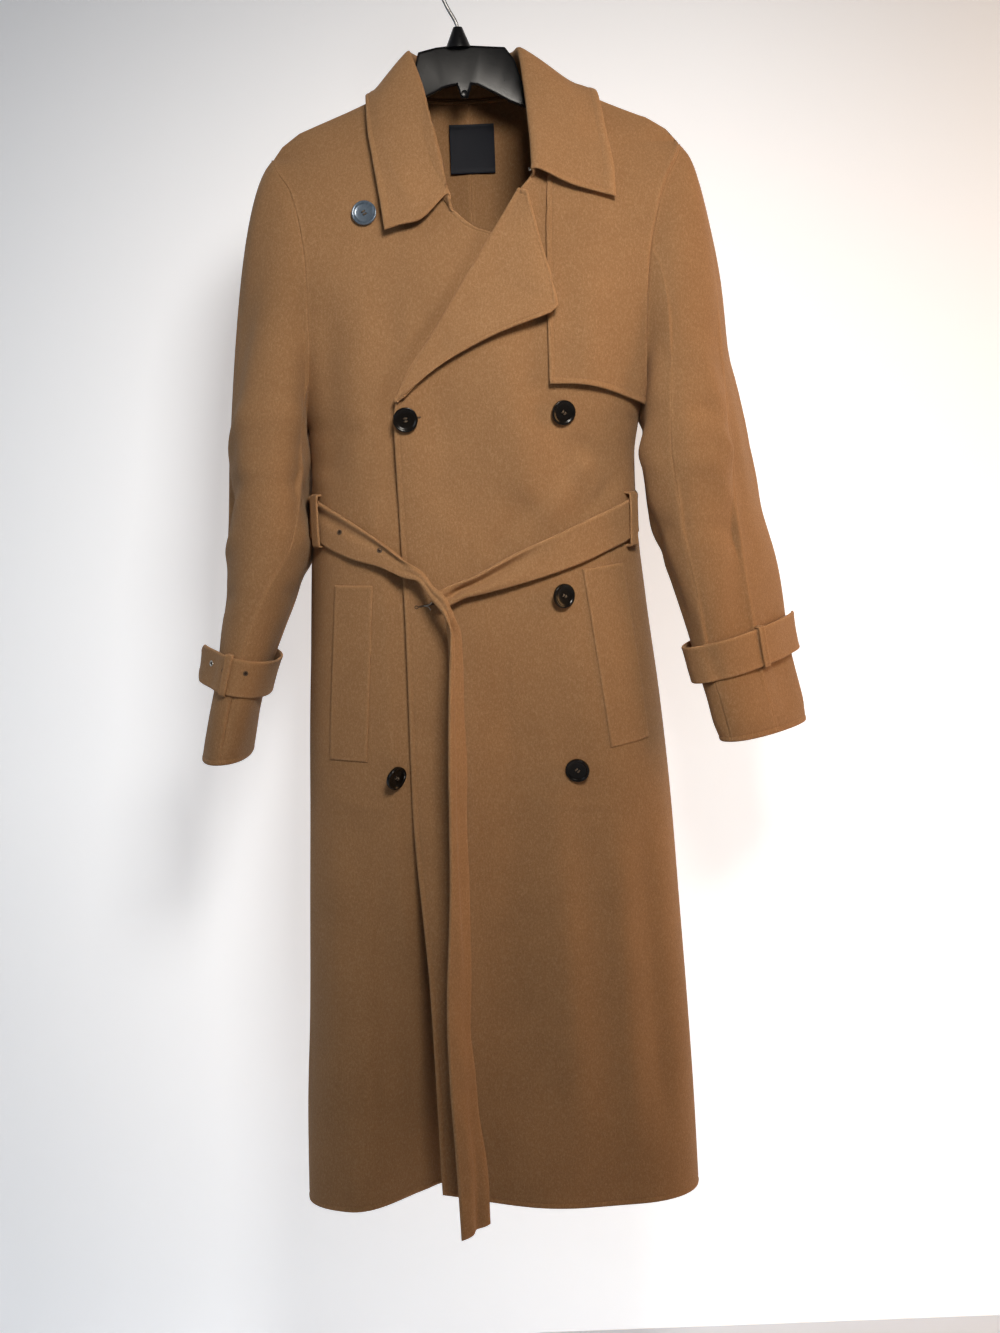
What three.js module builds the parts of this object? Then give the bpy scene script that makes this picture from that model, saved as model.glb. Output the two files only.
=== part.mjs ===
// A belted wool trench coat on a plastic hanger, in millimetres with +Z up.
// The origin is the top of the hook's inner curve, where the rail carries it.
// The coat faces -Y, so the wearer's left side is at +X.

import * as THREE from "three";

// ---------------------------------------------------------------- driving dimensions

const CLOTH = 2.4;             // wall of the double-faced wool
const GAP = 0.3;               // between two pieces at a seam
const HALF_GAP = GAP / 2;
const ARMHOLE_GAP = 1.1;       // across, where the seam runs slantwise

const UNDERARM_Z = -490;       // bottom of both armholes
const TIP = { left: -192, right: 222, z: -215 };     // shoulder ends, at the armhole tops
const NECK = { left: -66, right: 82, z: -150 };      // where the shoulder seams meet the collar
const NECK_MID = (NECK.left + NECK.right) / 2;
const NECK_HALF = (NECK.right - NECK.left) / 2;
const NECK_DOME = 60;          // rise of the imagined ridge that closes the neck opening
const BACK_NECK_Z = -155;      // back neck seam at the centre back
const ARMHOLE_DEPTH = 50;      // armhole's reach in front of and behind the shoulder seam
const RIDGE_FALL = 300;        // drop over which the cloth reaches its full depth

const BELT_WIDTH = 42;
const BELT_THICK = 3;
const FRONT_BELT_SLACK = 0.8;  // how far the belt stands off the panel, besides the gap
const BACK_BELT_SLACK = 2;
const BACK_BELT = { middle: -1.9, half: 169.5, lowStart: -604, lowEnd: -599, sag: 6 };
const RIGHT_SHOULDER_STATION = 4;          // collar stations that lie on the shoulder seams
const LEFT_SHOULDER_STATION = 10;
const STRAP_WIDTH = 40;
const STRAP_THICK = 2.6;
const STRAP_CLEAR = STRAP_THICK + 1.5;     // strap's outer face off the sleeve
const COLLAR_THICK = 2.6;
const FLAP_THICK = 2.4;
const BUTTON_RADIUS = 12.5;
const BUTTON_THICK = 4;
const HOOK_INNER = 21;         // inside radius of the hanger's crook
const WIRE_RADIUS = 1.9;
const TRIM_WIRE = 0.8;         // radius of the collar's hook and eye
const HANGER_THICK = 8;

// Side outline and centre depths of the hanging body, a row for each level: left is the
// edge at -X and right the one at +X. Above the underarm they are the armhole seams.
const BODY = [
  { z: -1330, left: -213, right: 216, middle: 0, front: 76, back: 76 },
  { z: -1224, left: -209, right: 213, middle: 0, front: 76, back: 74 },
  { z: -1111, left: -201, right: 208, middle: 0, front: 76, back: 72 },
  { z: -999, left: -195, right: 202, middle: 0, front: 76, back: 70 },
  { z: -889, left: -189, right: 196, middle: 0, front: 76, back: 67 },
  { z: -781, left: -183, right: 187, middle: 0, front: 75, back: 63 },
  { z: -674, left: -177, right: 175, middle: -1, front: 73, back: 58 },
  { z: -590, left: -172, right: 168, middle: -1, front: 72, back: 55 },
  { z: -527, left: -169, right: 167, middle: 0, front: 75, back: 59 },
  { z: -490, left: -170, right: 172, middle: 2, front: 77, back: 63 },
  { z: -428, left: -163, right: 179, middle: 6, front: 78, back: 67 },
  { z: -378, left: -161, right: 182, middle: 9, front: 77, back: 69 },
  { z: -329, left: -161, right: 186, middle: 11, front: 75, back: 71 },
  { z: -288, left: -165, right: 194, middle: 13, front: 72, back: 73 },
  { z: -253, left: -173, right: 205, middle: 14, front: 70, back: 75 },
  { z: -215, left: -192, right: 222, middle: 15, front: 68, back: 77 },
  { z: -90, left: -192, right: 222, middle: 15, front: 66, back: 80 },
];

// The shoulder seams seen from the front, from one tip to the other.
const SHOULDER = [
  { x: -192, z: -215 },
  { x: -182, z: -202 },
  { x: -164, z: -189 },
  { x: -127, z: -174 },
  { x: -66, z: -150 },
  { x: 82, z: -150 },
  { x: 140, z: -168 },
  { x: 188, z: -186 },
  { x: 208, z: -199 },
  { x: 222, z: -215 },
];

// The left front's inner boundary: its free edge, then the roll line of the turned
// lapel, then the neck seam.
const OVER_EDGE = [
  { z: -1330, x: -63 },
  { z: -1082, x: -67 },
  { z: -869, x: -77 },
  { z: -703, x: -76 },
  { z: -601, x: -77 },
  { z: -486, x: -78.5 },
  { z: -466, x: -76 },
  { z: -363, x: -10 },
  { z: -261, x: 57 },
  { z: -245, x: 70 },
  { z: -215, x: 80 },
  { z: -180, x: 84 },
  { z: -150, x: 82 },
];

// Levels of the left front: at its inner boundary, at its side, the hem's dip between
// them, and how much of the shoulder's curve the row takes.
const LEFT_FRONT_ROWS = [
  { inner: -1299, side: -1326, dip: 7, curve: 0 },
  { inner: -1205, side: -1215, dip: 3, curve: 0 },
  { inner: -1098, side: -1100, dip: 0, curve: 0 },
  { inner: -985, side: -985, dip: 0, curve: 0 },
  { inner: -870, side: -870, dip: 0, curve: 0 },
  { inner: -770, side: -770, dip: 0, curve: 0 },
  { inner: -680, side: -682, dip: 0, curve: 0 },
  { inner: -620, side: -620, dip: 0, curve: 0 },
  { inner: -580, side: -580, dip: 0, curve: 0 },
  { inner: -535, side: -535, dip: 0, curve: 0 },
  { inner: -486, side: UNDERARM_Z, dip: 0, curve: 0 },
  { inner: -466, side: -479, dip: 0, curve: 0 },
  { inner: -420, side: -455, dip: 0, curve: 0 },
  { inner: -363, side: -418, dip: 0, curve: 0 },
  { inner: -310, side: -370, dip: 0, curve: 0 },
  { inner: -261, side: -322, dip: 0, curve: 0.1 },
  { inner: -225, side: -278, dip: 0, curve: 0.3 },
  { inner: -188, side: -245, dip: 0, curve: 0.65 },
  { inner: -164, side: -226, dip: 0, curve: 0.9 },
  { inner: -150, side: TIP.z, dip: 0, curve: 1 },
];

// Levels of the right front, which lies under the left one: its side, then its inner
// boundary as free edge, top edge of the lapel left unturned, and neck seam.
const RIGHT_FRONT_ROWS = [
  { side: -1326, innerX: 92, innerZ: -1302, curve: 0 },
  { side: -1215, innerX: 92, innerZ: -1206, curve: 0 },
  { side: -1100, innerX: 92, innerZ: -1098, curve: 0 },
  { side: -985, innerX: 92, innerZ: -985, curve: 0 },
  { side: -870, innerX: 92, innerZ: -870, curve: 0 },
  { side: -770, innerX: 92, innerZ: -770, curve: 0 },
  { side: -682, innerX: 92, innerZ: -680, curve: 0 },
  { side: -620, innerX: 92, innerZ: -615, curve: 0 },
  { side: -580, innerX: 92, innerZ: -575, curve: 0 },
  { side: -535, innerX: 92, innerZ: -525, curve: 0 },
  { side: UNDERARM_Z, innerX: 92, innerZ: -475, curve: 0 },
  { side: -479, innerX: 92, innerZ: -440, curve: 0 },
  { side: -450, innerX: 92, innerZ: -385, curve: 0 },
  { side: -400, innerX: 92, innerZ: -330, curve: 0 },
  { side: -370, innerX: 88, innerZ: -303, curve: 0 },
  { side: -348, innerX: 50, innerZ: -303, curve: 0 },
  { side: -328, innerX: 18, innerZ: -297, curve: 0 },
  { side: -308, innerX: -8, innerZ: -281, curve: 0.1 },
  { side: -278, innerX: -32, innerZ: -242, curve: 0.3 },
  { side: -248, innerX: -52, innerZ: -196, curve: 0.65 },
  { side: -226, innerX: -63, innerZ: -166, curve: 0.9 },
  { side: TIP.z, innerX: NECK.left, innerZ: NECK.z, curve: 1 },
];

// Levels of both back halves: at the centre back seam and at the side.
const BACK_ROWS = [
  { inner: -1320, side: -1326, curve: 0 },
  { inner: -1212, side: -1215, curve: 0 },
  { inner: -1100, side: -1100, curve: 0 },
  { inner: -985, side: -985, curve: 0 },
  { inner: -870, side: -870, curve: 0 },
  { inner: -770, side: -770, curve: 0 },
  { inner: -682, side: -682, curve: 0 },
  { inner: -620, side: -620, curve: 0 },
  { inner: -580, side: -580, curve: 0 },
  { inner: -535, side: -535, curve: 0 },
  { inner: -480, side: UNDERARM_Z, curve: 0 },
  { inner: -452, side: -479, curve: 0 },
  { inner: -412, side: -450, curve: 0 },
  { inner: -352, side: -400, curve: 0 },
  { inner: -290, side: -345, curve: 0.1 },
  { inner: -236, side: -292, curve: 0.3 },
  { inner: -197, side: -252, curve: 0.65 },
  { inner: -168, side: -226, curve: 0.9 },
  { inner: BACK_NECK_Z, side: TIP.z, curve: 1 },
];

// Flutes of the hanging cloth: where each one runs at the hem and at its upper end, how
// wide it is, and how far it stands out (or in) at the hem.
const FLUTES = [
  { face: 1, hemX: -128, topX: -90, topZ: -640, width: 46, out: 9 },
  { face: 1, hemX: -52, topX: -34, topZ: -560, width: 34, out: -8 },
  { face: 1, hemX: 46, topX: 34, topZ: -620, width: 42, out: 8 },
  { face: 1, hemX: 122, topX: 84, topZ: -560, width: 36, out: -7 },
  { face: -1, hemX: 128, topX: 105, topZ: -820, width: 40, out: -5 },
  { face: -1, hemX: 40, topX: 45, topZ: -900, width: 46, out: 4 },
];

// The right front falls back behind the left one in the skirt.
const RECESS = { topZ: -845, startX: -165, endX: -63, remaining: 12 };
const TUCK = { depth: 6, run: 22 };

// Hanging sleeves, a row for each ring below the underarm: centre, half-sizes across the
// flattened tube, its turn, the fall of its outer side, and the front seam's angle.
const RIGHT_SLEEVE = [
  { z: -528, x: -213.5, y: 4, major: 73, minor: 38.5, turn: 0, lean: 0.05, seam: 146 },
  { z: -600, x: -217.5, y: 4, major: 71, minor: 40, turn: 0, lean: 0.06, seam: 126 },
  { z: -655, x: -227, y: 3, major: 69, minor: 37, turn: 0, lean: 0.06, seam: 100 },
  { z: -700, x: -241, y: 2, major: 68, minor: 31.5, turn: 0, lean: 0.05, seam: 92 },
  { z: -745, x: -253, y: 1, major: 67, minor: 27, turn: 0, lean: 0.04, seam: 90 },
  { z: -790, x: -265, y: 0, major: 67, minor: 26, turn: 0, lean: 0.02, seam: 90 },
  { z: -828, x: -274, y: 0, major: 67, minor: 25.5, turn: 0, lean: 0, seam: 90 },
];
const LEFT_SLEEVE = [
  { z: -528, x: 232, y: 2, major: 76, minor: 46, turn: 30, lean: 0.1, seam: 82 },
  { z: -590, x: 241, y: 2, major: 76, minor: 45.5, turn: 38, lean: 0.12, seam: 72 },
  { z: -650, x: 258, y: 0, major: 74, minor: 37, turn: 42, lean: 0.14, seam: 72 },
  { z: -700, x: 268, y: -2, major: 71, minor: 33, turn: 43, lean: 0.14, seam: 74 },
  { z: -740, x: 276, y: -3, major: 70, minor: 29, turn: 43, lean: 0.13, seam: 76 },
  { z: -781, x: 287, y: -4, major: 70, minor: 26, turn: 42, lean: 0.1, seam: 78 },
  { z: -823, x: 297, y: -5, major: 70, minor: 25, turn: 42, lean: 0.05, seam: 78 },
];
const OVERARM_SEAM = 8;        // angle of the overarm seam, 0 at the sleeve's outer side
const ARMHOLE_SEAM = { right: 128, left: 76 };       // front seam's angle at the armhole

// The collar, a row for each station from its right front end round the neck to the
// left one: its seam and outer edge on the body, and the fold between them.
const COLLAR = [
  { seamX: -9, seamZ: -279, foldX: -14, foldY: -72, foldZ: -261, edgeX: -77, edgeZ: -297, lift: 8 },
  { seamX: -32, seamZ: -242, foldX: -20, foldY: -62, foldZ: -230, edgeX: -82, edgeZ: -262, lift: 7 },
  { seamX: -49, seamZ: -206, foldX: -26, foldY: -53, foldZ: -192, edgeX: -88, edgeZ: -224, lift: 6.5 },
  { seamX: -61, seamZ: -174, foldX: -34, foldY: -35, foldZ: -152, edgeX: -92, edgeZ: -192, lift: 8 },
  { seamX: -66, seamZ: -150, foldX: -48, foldY: -8, foldZ: -113, edgeX: -93, edgeZ: -160.6, lift: 7 },
  { seamX: -52, seamZ: -151, foldX: -40, foldY: 20, foldZ: -113, edgeX: -76, edgeZ: -180, lift: 7 },
  { seamX: -22, seamZ: -154, foldX: -18, foldY: 38, foldZ: -113, edgeX: -36, edgeZ: -190, lift: 6 },
  { seamX: 9, seamZ: -155, foldX: 9, foldY: 43, foldZ: -114, edgeX: 14, edgeZ: -192, lift: 6 },
  { seamX: 40, seamZ: -154, foldX: 35, foldY: 38, foldZ: -113, edgeX: 66, edgeZ: -192, lift: 6 },
  { seamX: 68, seamZ: -151, foldX: 55, foldY: 18, foldZ: -114, edgeX: 112, edgeZ: -187, lift: 8 },
  { seamX: 82, seamZ: -150, foldX: 60, foldY: -8, foldZ: -114, edgeX: 135, edgeZ: -166.4, lift: 11 },
  { seamX: 84, seamZ: -180, foldX: 66, foldY: -32, foldZ: -157, edgeX: 143, edgeZ: -200, lift: 12 },
  { seamX: 80, seamZ: -215, foldX: 70, foldY: -52, foldZ: -200, edgeX: 149, edgeZ: -238, lift: 12 },
  { seamX: 68, seamZ: -248, foldX: 73, foldY: -68, foldZ: -240, edgeX: 151, edgeZ: -272, lift: 12 },
];

// The turned lapel, a row for each line from the roll line to its free edge. Lift is
// how far the free edge stands off the front.
const LAPEL = [
  { rollX: 58, rollZ: -259, edgeX: 63, edgeZ: -262, lift: 8 },
  { rollX: 38, rollZ: -290, edgeX: 75, edgeZ: -318, lift: 12 },
  { rollX: 14, rollZ: -327, edgeX: 88, edgeZ: -369, lift: 17 },
  { rollX: 9, rollZ: -335, edgeX: 88.5, edgeZ: -376, lift: 17 },
  { rollX: 4, rollZ: -342, edgeX: 82, edgeZ: -382, lift: 17 },
  { rollX: -28, rollZ: -391, edgeX: 28, edgeZ: -401, lift: 13 },
  { rollX: -55, rollZ: -433, edgeX: -28, edgeZ: -429, lift: 9 },
  { rollX: -75, rollZ: -464, edgeX: -66, edgeZ: -457, lift: 7 },
];

// The gun flap, a row for each level: its inner edge, its level at the armhole and how
// far it stands off the front.
const GUN_FLAP = [
  { innerX: 79, innerZ: -451, side: -474, dip: -7, lift: 7, curve: 0 },
  { innerX: 79, innerZ: -436, side: -456, dip: -4, lift: 5, curve: 0 },
  { innerX: 79, innerZ: -395, side: -420, dip: 0, lift: 4.2, curve: 0 },
  { innerX: 80, innerZ: -345, side: -372, lift: 3.8, curve: 0 },
  { innerX: 81, innerZ: -295, side: -322, lift: 3.8, curve: 0.1 },
  { innerX: 85, innerZ: -245, side: -278, lift: 4, curve: 0.3 },
  { innerX: 90, innerZ: -200, side: -245, lift: 4, curve: 0.65 },
  { innerX: 93, innerZ: -172, side: -227, lift: 4, curve: 0.9 },
  { innerX: 95, innerZ: -156, side: -218, lift: 3.6, curve: 1 },
];

// Pocket welts: the corners of each one on the front.
const WELTS = {
  pocket_welt_right: { topX: [-147, -107.5], topZ: [-647.5, -648], lowX: [-161, -122], lowZ: [-829.5, -831] },
  pocket_welt_left: { topX: [107, 149.5], topZ: [-639, -635.5], lowX: [129, 170], lowZ: [-825, -819.5] },
};

// Belt arms on the front, a row for each place from the side to the knot.
const RIGHT_ARM = [
  { x: -171.2, top: -556, low: -599, off: 1.8 },
  { x: -169.5, top: -557, low: -600, off: 1.7 },
  { x: -166, top: -558, low: -601, off: 1 },
  { x: -160, top: -561, low: -604, off: 0.8 },
  { x: -150, top: -566, low: -610, off: 1 },
  { x: -125, top: -581, low: -621, off: 3 },
  { x: -97, top: -601, low: -629, off: 6 },
  { x: -74, top: -620, low: -640, off: 9 },
  { x: -53.6, top: -639, low: -651, off: 12.5 },
];
const LEFT_ARM = [
  { x: -31, top: -661, low: -671, off: 13 },
  { x: 2, top: -640, low: -661, off: 7 },
  { x: 35, top: -623, low: -653, off: 4 },
  { x: 70, top: -607, low: -644, off: 2.2 },
  { x: 105, top: -592, low: -633, off: 1.6 },
  { x: 130, top: -582, low: -623, off: 1.2 },
  { x: 148, top: -575, low: -616, off: 1 },
  { x: 159, top: -570, low: -611, off: 0.6 },
  { x: 165, top: -566, low: -606, off: 0.8 },
  { x: 167.4, top: -565, low: -604, off: 1 },
];
const KNOT = { x: -44, y: -94, z: -656, across: 9, deep: 9, long: 21, lean: 30 };

// The hanging tail, a row for each level: its two edges and their depths. It hangs
// twisted, its right-hand edge turned towards the coat.
const TAIL = [
  { z: -673.8, left: -38.5, right: -24.5, nearY: -101, farY: -90.5 },
  { z: -703, left: -29.5, right: -17.5, nearY: -109, farY: -87 },
  { z: -765, left: -32.5, right: -18, nearY: -117, farY: -84 },
  { z: -827, left: -36, right: -18, nearY: -118, farY: -84 },
  { z: -889, left: -37.5, right: -20, nearY: -117, farY: -84 },
  { z: -973, left: -41, right: -19.5, nearY: -114, farY: -84 },
  { z: -1079, left: -48.5, right: -24, nearY: -111, farY: -84 },
  { z: -1165, left: -49, right: -23, nearY: -111, farY: -84 },
  { z: -1253, left: -46, right: -15, nearY: -110, farY: -84 },
  { z: -1336, left: -44, right: -13, nearY: -109, farY: -84 },
];

// Cuff straps: the ring they sit at, the angles of their free tip and sewn end, where
// and how far they hang slack, and the loop that holds each one.
const STRAPS = {
  right: { ring: 3.82, tip: -4, sewn: 328, tipOut: 11, slackAt: 170, slack: 1, tilt: 0.2, loopAt: 72 },
  left: { ring: 3.84, tip: -78, sewn: 254, tipOut: 9, slackAt: 110, slack: 5, tilt: 0.05, loopAt: 5 },
};

// Belt loops on the side seams, and the bare label inside the back neck.
const BELT_LOOPS = {
  belt_loop_right: { x: -160, top: -557, low: -607 },
  belt_loop_left: { x: 157, top: -566, low: -618 },
};
const LABEL = { left: -13, right: 35, top: -178, low: -228 };

// Buttons: where each one sits on the front and how far its thread shank lifts it.
const BUTTONS = {
  button_top_right: { x: -66, z: -481.5, shank: 0.5 },
  button_top_left: { x: 92, z: -480, shank: 0.5 },
  button_middle_left: { x: 86, z: -665, shank: 0.5 },
  button_low_left: { x: 95, z: -845, shank: 0.5 },
  button_low_right: { x: -93, z: -846, shank: 1.7 },
  button_shoulder: { x: -99, z: -276, shank: 0.5 },
};

// Colours and finishes.
const FINISH = {
  wool: { color: 0x8c6a4a, roughness: 0.95, metalness: 0 },
  horn: { color: 0x17130f, roughness: 0.25, metalness: 0 },
  slate: { color: 0x5c6a7a, roughness: 0.3, metalness: 0.1 },
  label: { color: 0x14161c, roughness: 0.8, metalness: 0 },
  plastic: { color: 0x0c0c0c, roughness: 0.35, metalness: 0 },
  steel: { color: 0xb4b4b0, roughness: 0.3, metalness: 1 },
};

// ---------------------------------------------------------------- numbers and tables

const clamp = (value, low, high) => Math.min(high, Math.max(low, value));
const lerp = (a, b, t) => a + (b - a) * t;
const degrees = (angle) => THREE.MathUtils.degToRad(angle);

function ease(value) {
  const t = clamp(value, 0, 1);
  return t * t * (3 - 2 * t);
}

// Smooth value of one column of a table at a place along its key column, which may rise
// or fall. Slopes are limited, so the curve never overshoots a row.
function look(table, key, column, at) {
  const rising = table[table.length - 1][key] > table[0][key] ? 1 : -1;
  let i = 0;
  while (i < table.length - 2 && (at - table[i + 1][key]) * rising > 0) {
    i += 1;
  }
  const step = (k) => table[k + 1][key] - table[k][key];
  const secant = (k) => (table[k + 1][column] - table[k][column]) / step(k);
  const slope = (k) => {
    if (k === 0) {
      return secant(0);
    }
    if (k === table.length - 1) {
      return secant(k - 1);
    }
    const before = secant(k - 1);
    const after = secant(k);
    return before * after <= 0 ? 0 : (2 * before * after) / (before + after);
  };
  const t = clamp((at - table[i][key]) / step(i), 0, 1);
  const span = step(i);
  const a = table[i][column];
  const b = table[i + 1][column];
  return (
    a * (1 + 2 * t) * (1 - t) ** 2 +
    slope(i) * span * t * (1 - t) ** 2 +
    b * t * t * (3 - 2 * t) +
    slope(i + 1) * span * t * t * (t - 1)
  );
}

// The same with straight lines between the rows.
function lookStraight(table, key, column, at) {
  let i = 0;
  while (i < table.length - 2 && at > table[i + 1][key]) {
    i += 1;
  }
  const share = (at - table[i][key]) / (table[i + 1][key] - table[i][key]);
  return lerp(table[i][column], table[i + 1][column], clamp(share, 0, 1));
}

// The smooth one with the row number as key, for tables whose rows are sections.
function lookRow(table, column, at) {
  return look(table.map((row, i) => ({ at: i, [column]: row[column] })), "at", column, at);
}

// ---------------------------------------------------------------- closed cloth walls

// A closed wall from a grid of points on its outer face. Rows run up the piece and
// columns anticlockwise seen from above, so that the grid faces out. The function
// settle may turn the normal of a point, so that two pieces meet squarely at a seam.
function wall(grid, thickness, settle = (normal) => normal) {
  const rows = grid.length;
  const columns = grid[0].length;
  const inner = grid.map((row, r) =>
    row.map((point, c) => {
      const along = grid[r][Math.min(c + 1, columns - 1)].clone().sub(grid[r][Math.max(c - 1, 0)]);
      const up = grid[Math.min(r + 1, rows - 1)][c].clone().sub(grid[Math.max(r - 1, 0)][c]);
      const normal = settle(along.cross(up).normalize(), r, c).normalize();
      return point.clone().addScaledVector(normal, -thickness);
    }),
  );
  const vertices = [];
  for (const face of [grid, inner]) {
    for (const row of face) {
      for (const point of row) {
        vertices.push(point.x, point.y, point.z);
      }
    }
  }
  const outside = (r, c) => r * columns + c;
  const inside = (r, c) => rows * columns + r * columns + c;
  const triangles = [];
  const quad = (a, b, c, d) => triangles.push(a, b, c, a, c, d);
  for (let r = 0; r < rows - 1; r += 1) {
    for (let c = 0; c < columns - 1; c += 1) {
      quad(outside(r, c), outside(r, c + 1), outside(r + 1, c + 1), outside(r + 1, c));
      quad(inside(r, c), inside(r + 1, c), inside(r + 1, c + 1), inside(r, c + 1));
    }
    const last = columns - 1;
    quad(outside(r, 0), outside(r + 1, 0), inside(r + 1, 0), inside(r, 0));
    quad(outside(r + 1, last), outside(r, last), inside(r, last), inside(r + 1, last));
  }
  for (let c = 0; c < columns - 1; c += 1) {
    const last = rows - 1;
    quad(outside(0, c + 1), outside(0, c), inside(0, c), inside(0, c + 1));
    quad(outside(last, c), outside(last, c + 1), inside(last, c + 1), inside(last, c));
  }
  const geometry = new THREE.BufferGeometry();
  geometry.setAttribute("position", new THREE.Float32BufferAttribute(vertices, 3));
  geometry.setIndex(triangles);
  geometry.computeVertexNormals();
  return geometry;
}

// ---------------------------------------------------------------- the body's form

// Height of the shoulder seam at x, or of the imagined ridge over the neck opening.
function ridge(x) {
  if (x > NECK.left && x < NECK.right) {
    const across = (x - NECK_MID) / NECK_HALF;
    return NECK.z + NECK_DOME * (1 - across * across);
  }
  return lookStraight(SHOULDER, "x", "z", x);
}

// Half-depth of the armhole at a level: nothing at its top and at the underarm.
function armholeDepth(z) {
  const middle = (TIP.z + UNDERARM_Z) / 2;
  const reach = (z - middle) / ((TIP.z - UNDERARM_Z) / 2);
  return Math.abs(reach) < 1 ? ARMHOLE_DEPTH * Math.sqrt(1 - reach * reach) : 0;
}

function flute(x, z, face) {
  return FLUTES.filter((row) => row.face === face).reduce((sum, row) => {
    const down = clamp((row.topZ - z) / (row.topZ - BODY[0].z), 0, 1);
    const across = (x - lerp(row.topX, row.hemX, down)) / row.width;
    return sum + row.out * down ** 1.3 * Math.exp(-across * across);
  }, 0);
}

// How far the cloth stands off the plane of the shoulder seams, on the front (-1) or
// the back (1). It closes to nothing at the shoulder ridge and at the side seams.
function depth(x, z, face) {
  const middle = look(BODY, "z", "middle", z);
  const side = look(BODY, "z", x < middle ? "left" : "right", z);
  const full = look(BODY, "z", face < 0 ? "front" : "back", z);
  const drop = clamp((ridge(x) - z) / RIDGE_FALL, 0, 1);
  const inside = full * Math.sqrt(1 - (1 - drop) ** 2);
  const edge = armholeDepth(z);
  const across = clamp(Math.abs((x - middle) / (side - middle)), 0, 1);
  const open = 1 - across ** 3;
  const plain = Math.sqrt(Math.max(0, edge * edge + (inside * inside - edge * edge) * open));
  return plain + flute(x, z, face) * ease(open / 0.4);
}

// The right front's own depth: tucked under the left front and falling back behind it.
function underDepth(x, z) {
  const plain = depth(x, z, -1);
  const covered = ease((x - look(OVER_EDGE, "z", "x", z) + TUCK.run) / TUCK.run);
  const down = ease((RECESS.topZ - z) / (RECESS.topZ - BODY[0].z));
  const across = ease((x - RECESS.startX) / (RECESS.endX - RECESS.startX));
  return plain - TUCK.depth * covered - Math.max(0, plain - RECESS.remaining) * down * across;
}

// The body's outward direction, taken a little way in from its borders.
function bodyNormal(x, z, face, form = depth) {
  const step = 0.5;
  const nearX = x + (x < NECK_MID ? step : -step);
  const nearZ = z - step;
  const slopeX = (form(nearX + step, nearZ, face) - form(nearX - step, nearZ, face)) / (2 * step);
  const slopeZ = (form(nearX, nearZ + step, face) - form(nearX, nearZ - step, face)) / (2 * step);
  return new THREE.Vector3(-slopeX, face, -slopeZ).normalize();
}

// A point on the body, moved out along the surface.
function onBody(x, z, face, out = 0, form = depth) {
  const point = new THREE.Vector3(x, face * (HALF_GAP + form(x, z, face)), z);
  return out === 0 ? point : point.addScaledVector(bodyNormal(x, z, face, form), out);
}

// The nearest x inside the body's side edges at a level.
function withinSides(x, z) {
  return clamp(x, look(BODY, "z", "left", z), look(BODY, "z", "right", z));
}

// Columns bunched towards the side, where the cloth turns.
const towardsSide = (t) => Math.sin((t * Math.PI) / 2);

// Level along a row from its inner end to its side, following the shoulder's curve by
// the row's share and dipping between the two ends.
function levelOnRow(row, inner, sideX, x, topLine) {
  const t = (x - inner.x) / (sideX - inner.x);
  const chord = lerp(topLine(inner.topX), topLine(sideX), (x - inner.topX) / (sideX - inner.topX));
  const curved = row.curve * (topLine(x) - chord);
  return lerp(inner.z, row.side, t) - (row.dip ?? 0) * Math.sin(Math.PI * t) + curved;
}

// Square ends for the walls: no lean across the side and shoulder seams.
function squareSeams(table, sideColumn) {
  return (normal, r, c) => {
    const atSide = c === sideColumn && table[r].side <= UNDERARM_Z;
    if (atSide || r === table.length - 1) {
      normal.y = 0;
    }
    return normal;
  };
}

function leftFront() {
  const columns = 12;
  const grid = LEFT_FRONT_ROWS.map((row) => {
    const innerX = look(OVER_EDGE, "z", "x", row.inner);
    const sideX = look(BODY, "z", "right", row.side);
    return Array.from({ length: columns }, (_, c) => {
      const x = lerp(innerX, sideX, towardsSide(c / (columns - 1)));
      const inner = { x: innerX, z: row.inner, topX: NECK.right };
      return onBody(x, Math.min(levelOnRow(row, inner, sideX, x, ridge), ridge(x)), -1);
    });
  });
  return wall(grid, CLOTH, squareSeams(LEFT_FRONT_ROWS, columns - 1));
}

function rightFront() {
  const columns = 14;
  const grid = RIGHT_FRONT_ROWS.map((row) => {
    const sideX = look(BODY, "z", "left", row.side);
    return Array.from({ length: columns }, (_, c) => {
      const x = lerp(row.innerX, sideX, towardsSide(1 - c / (columns - 1)));
      const inner = { x: row.innerX, z: row.innerZ, topX: NECK.left };
      return onBody(x, Math.min(levelOnRow(row, inner, sideX, x, ridge), ridge(x)), -1, 0, underDepth);
    });
  });
  return wall(grid, CLOTH, squareSeams(RIGHT_FRONT_ROWS, 0));
}

// Top line of the back: the neck seam, then the shoulder seams.
function backTop(x) {
  if (x > NECK.left && x < NECK.right) {
    const across = (x - NECK_MID) / NECK_HALF;
    return lerp(BACK_NECK_Z, NECK.z, across * across);
  }
  return ridge(x);
}

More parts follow.
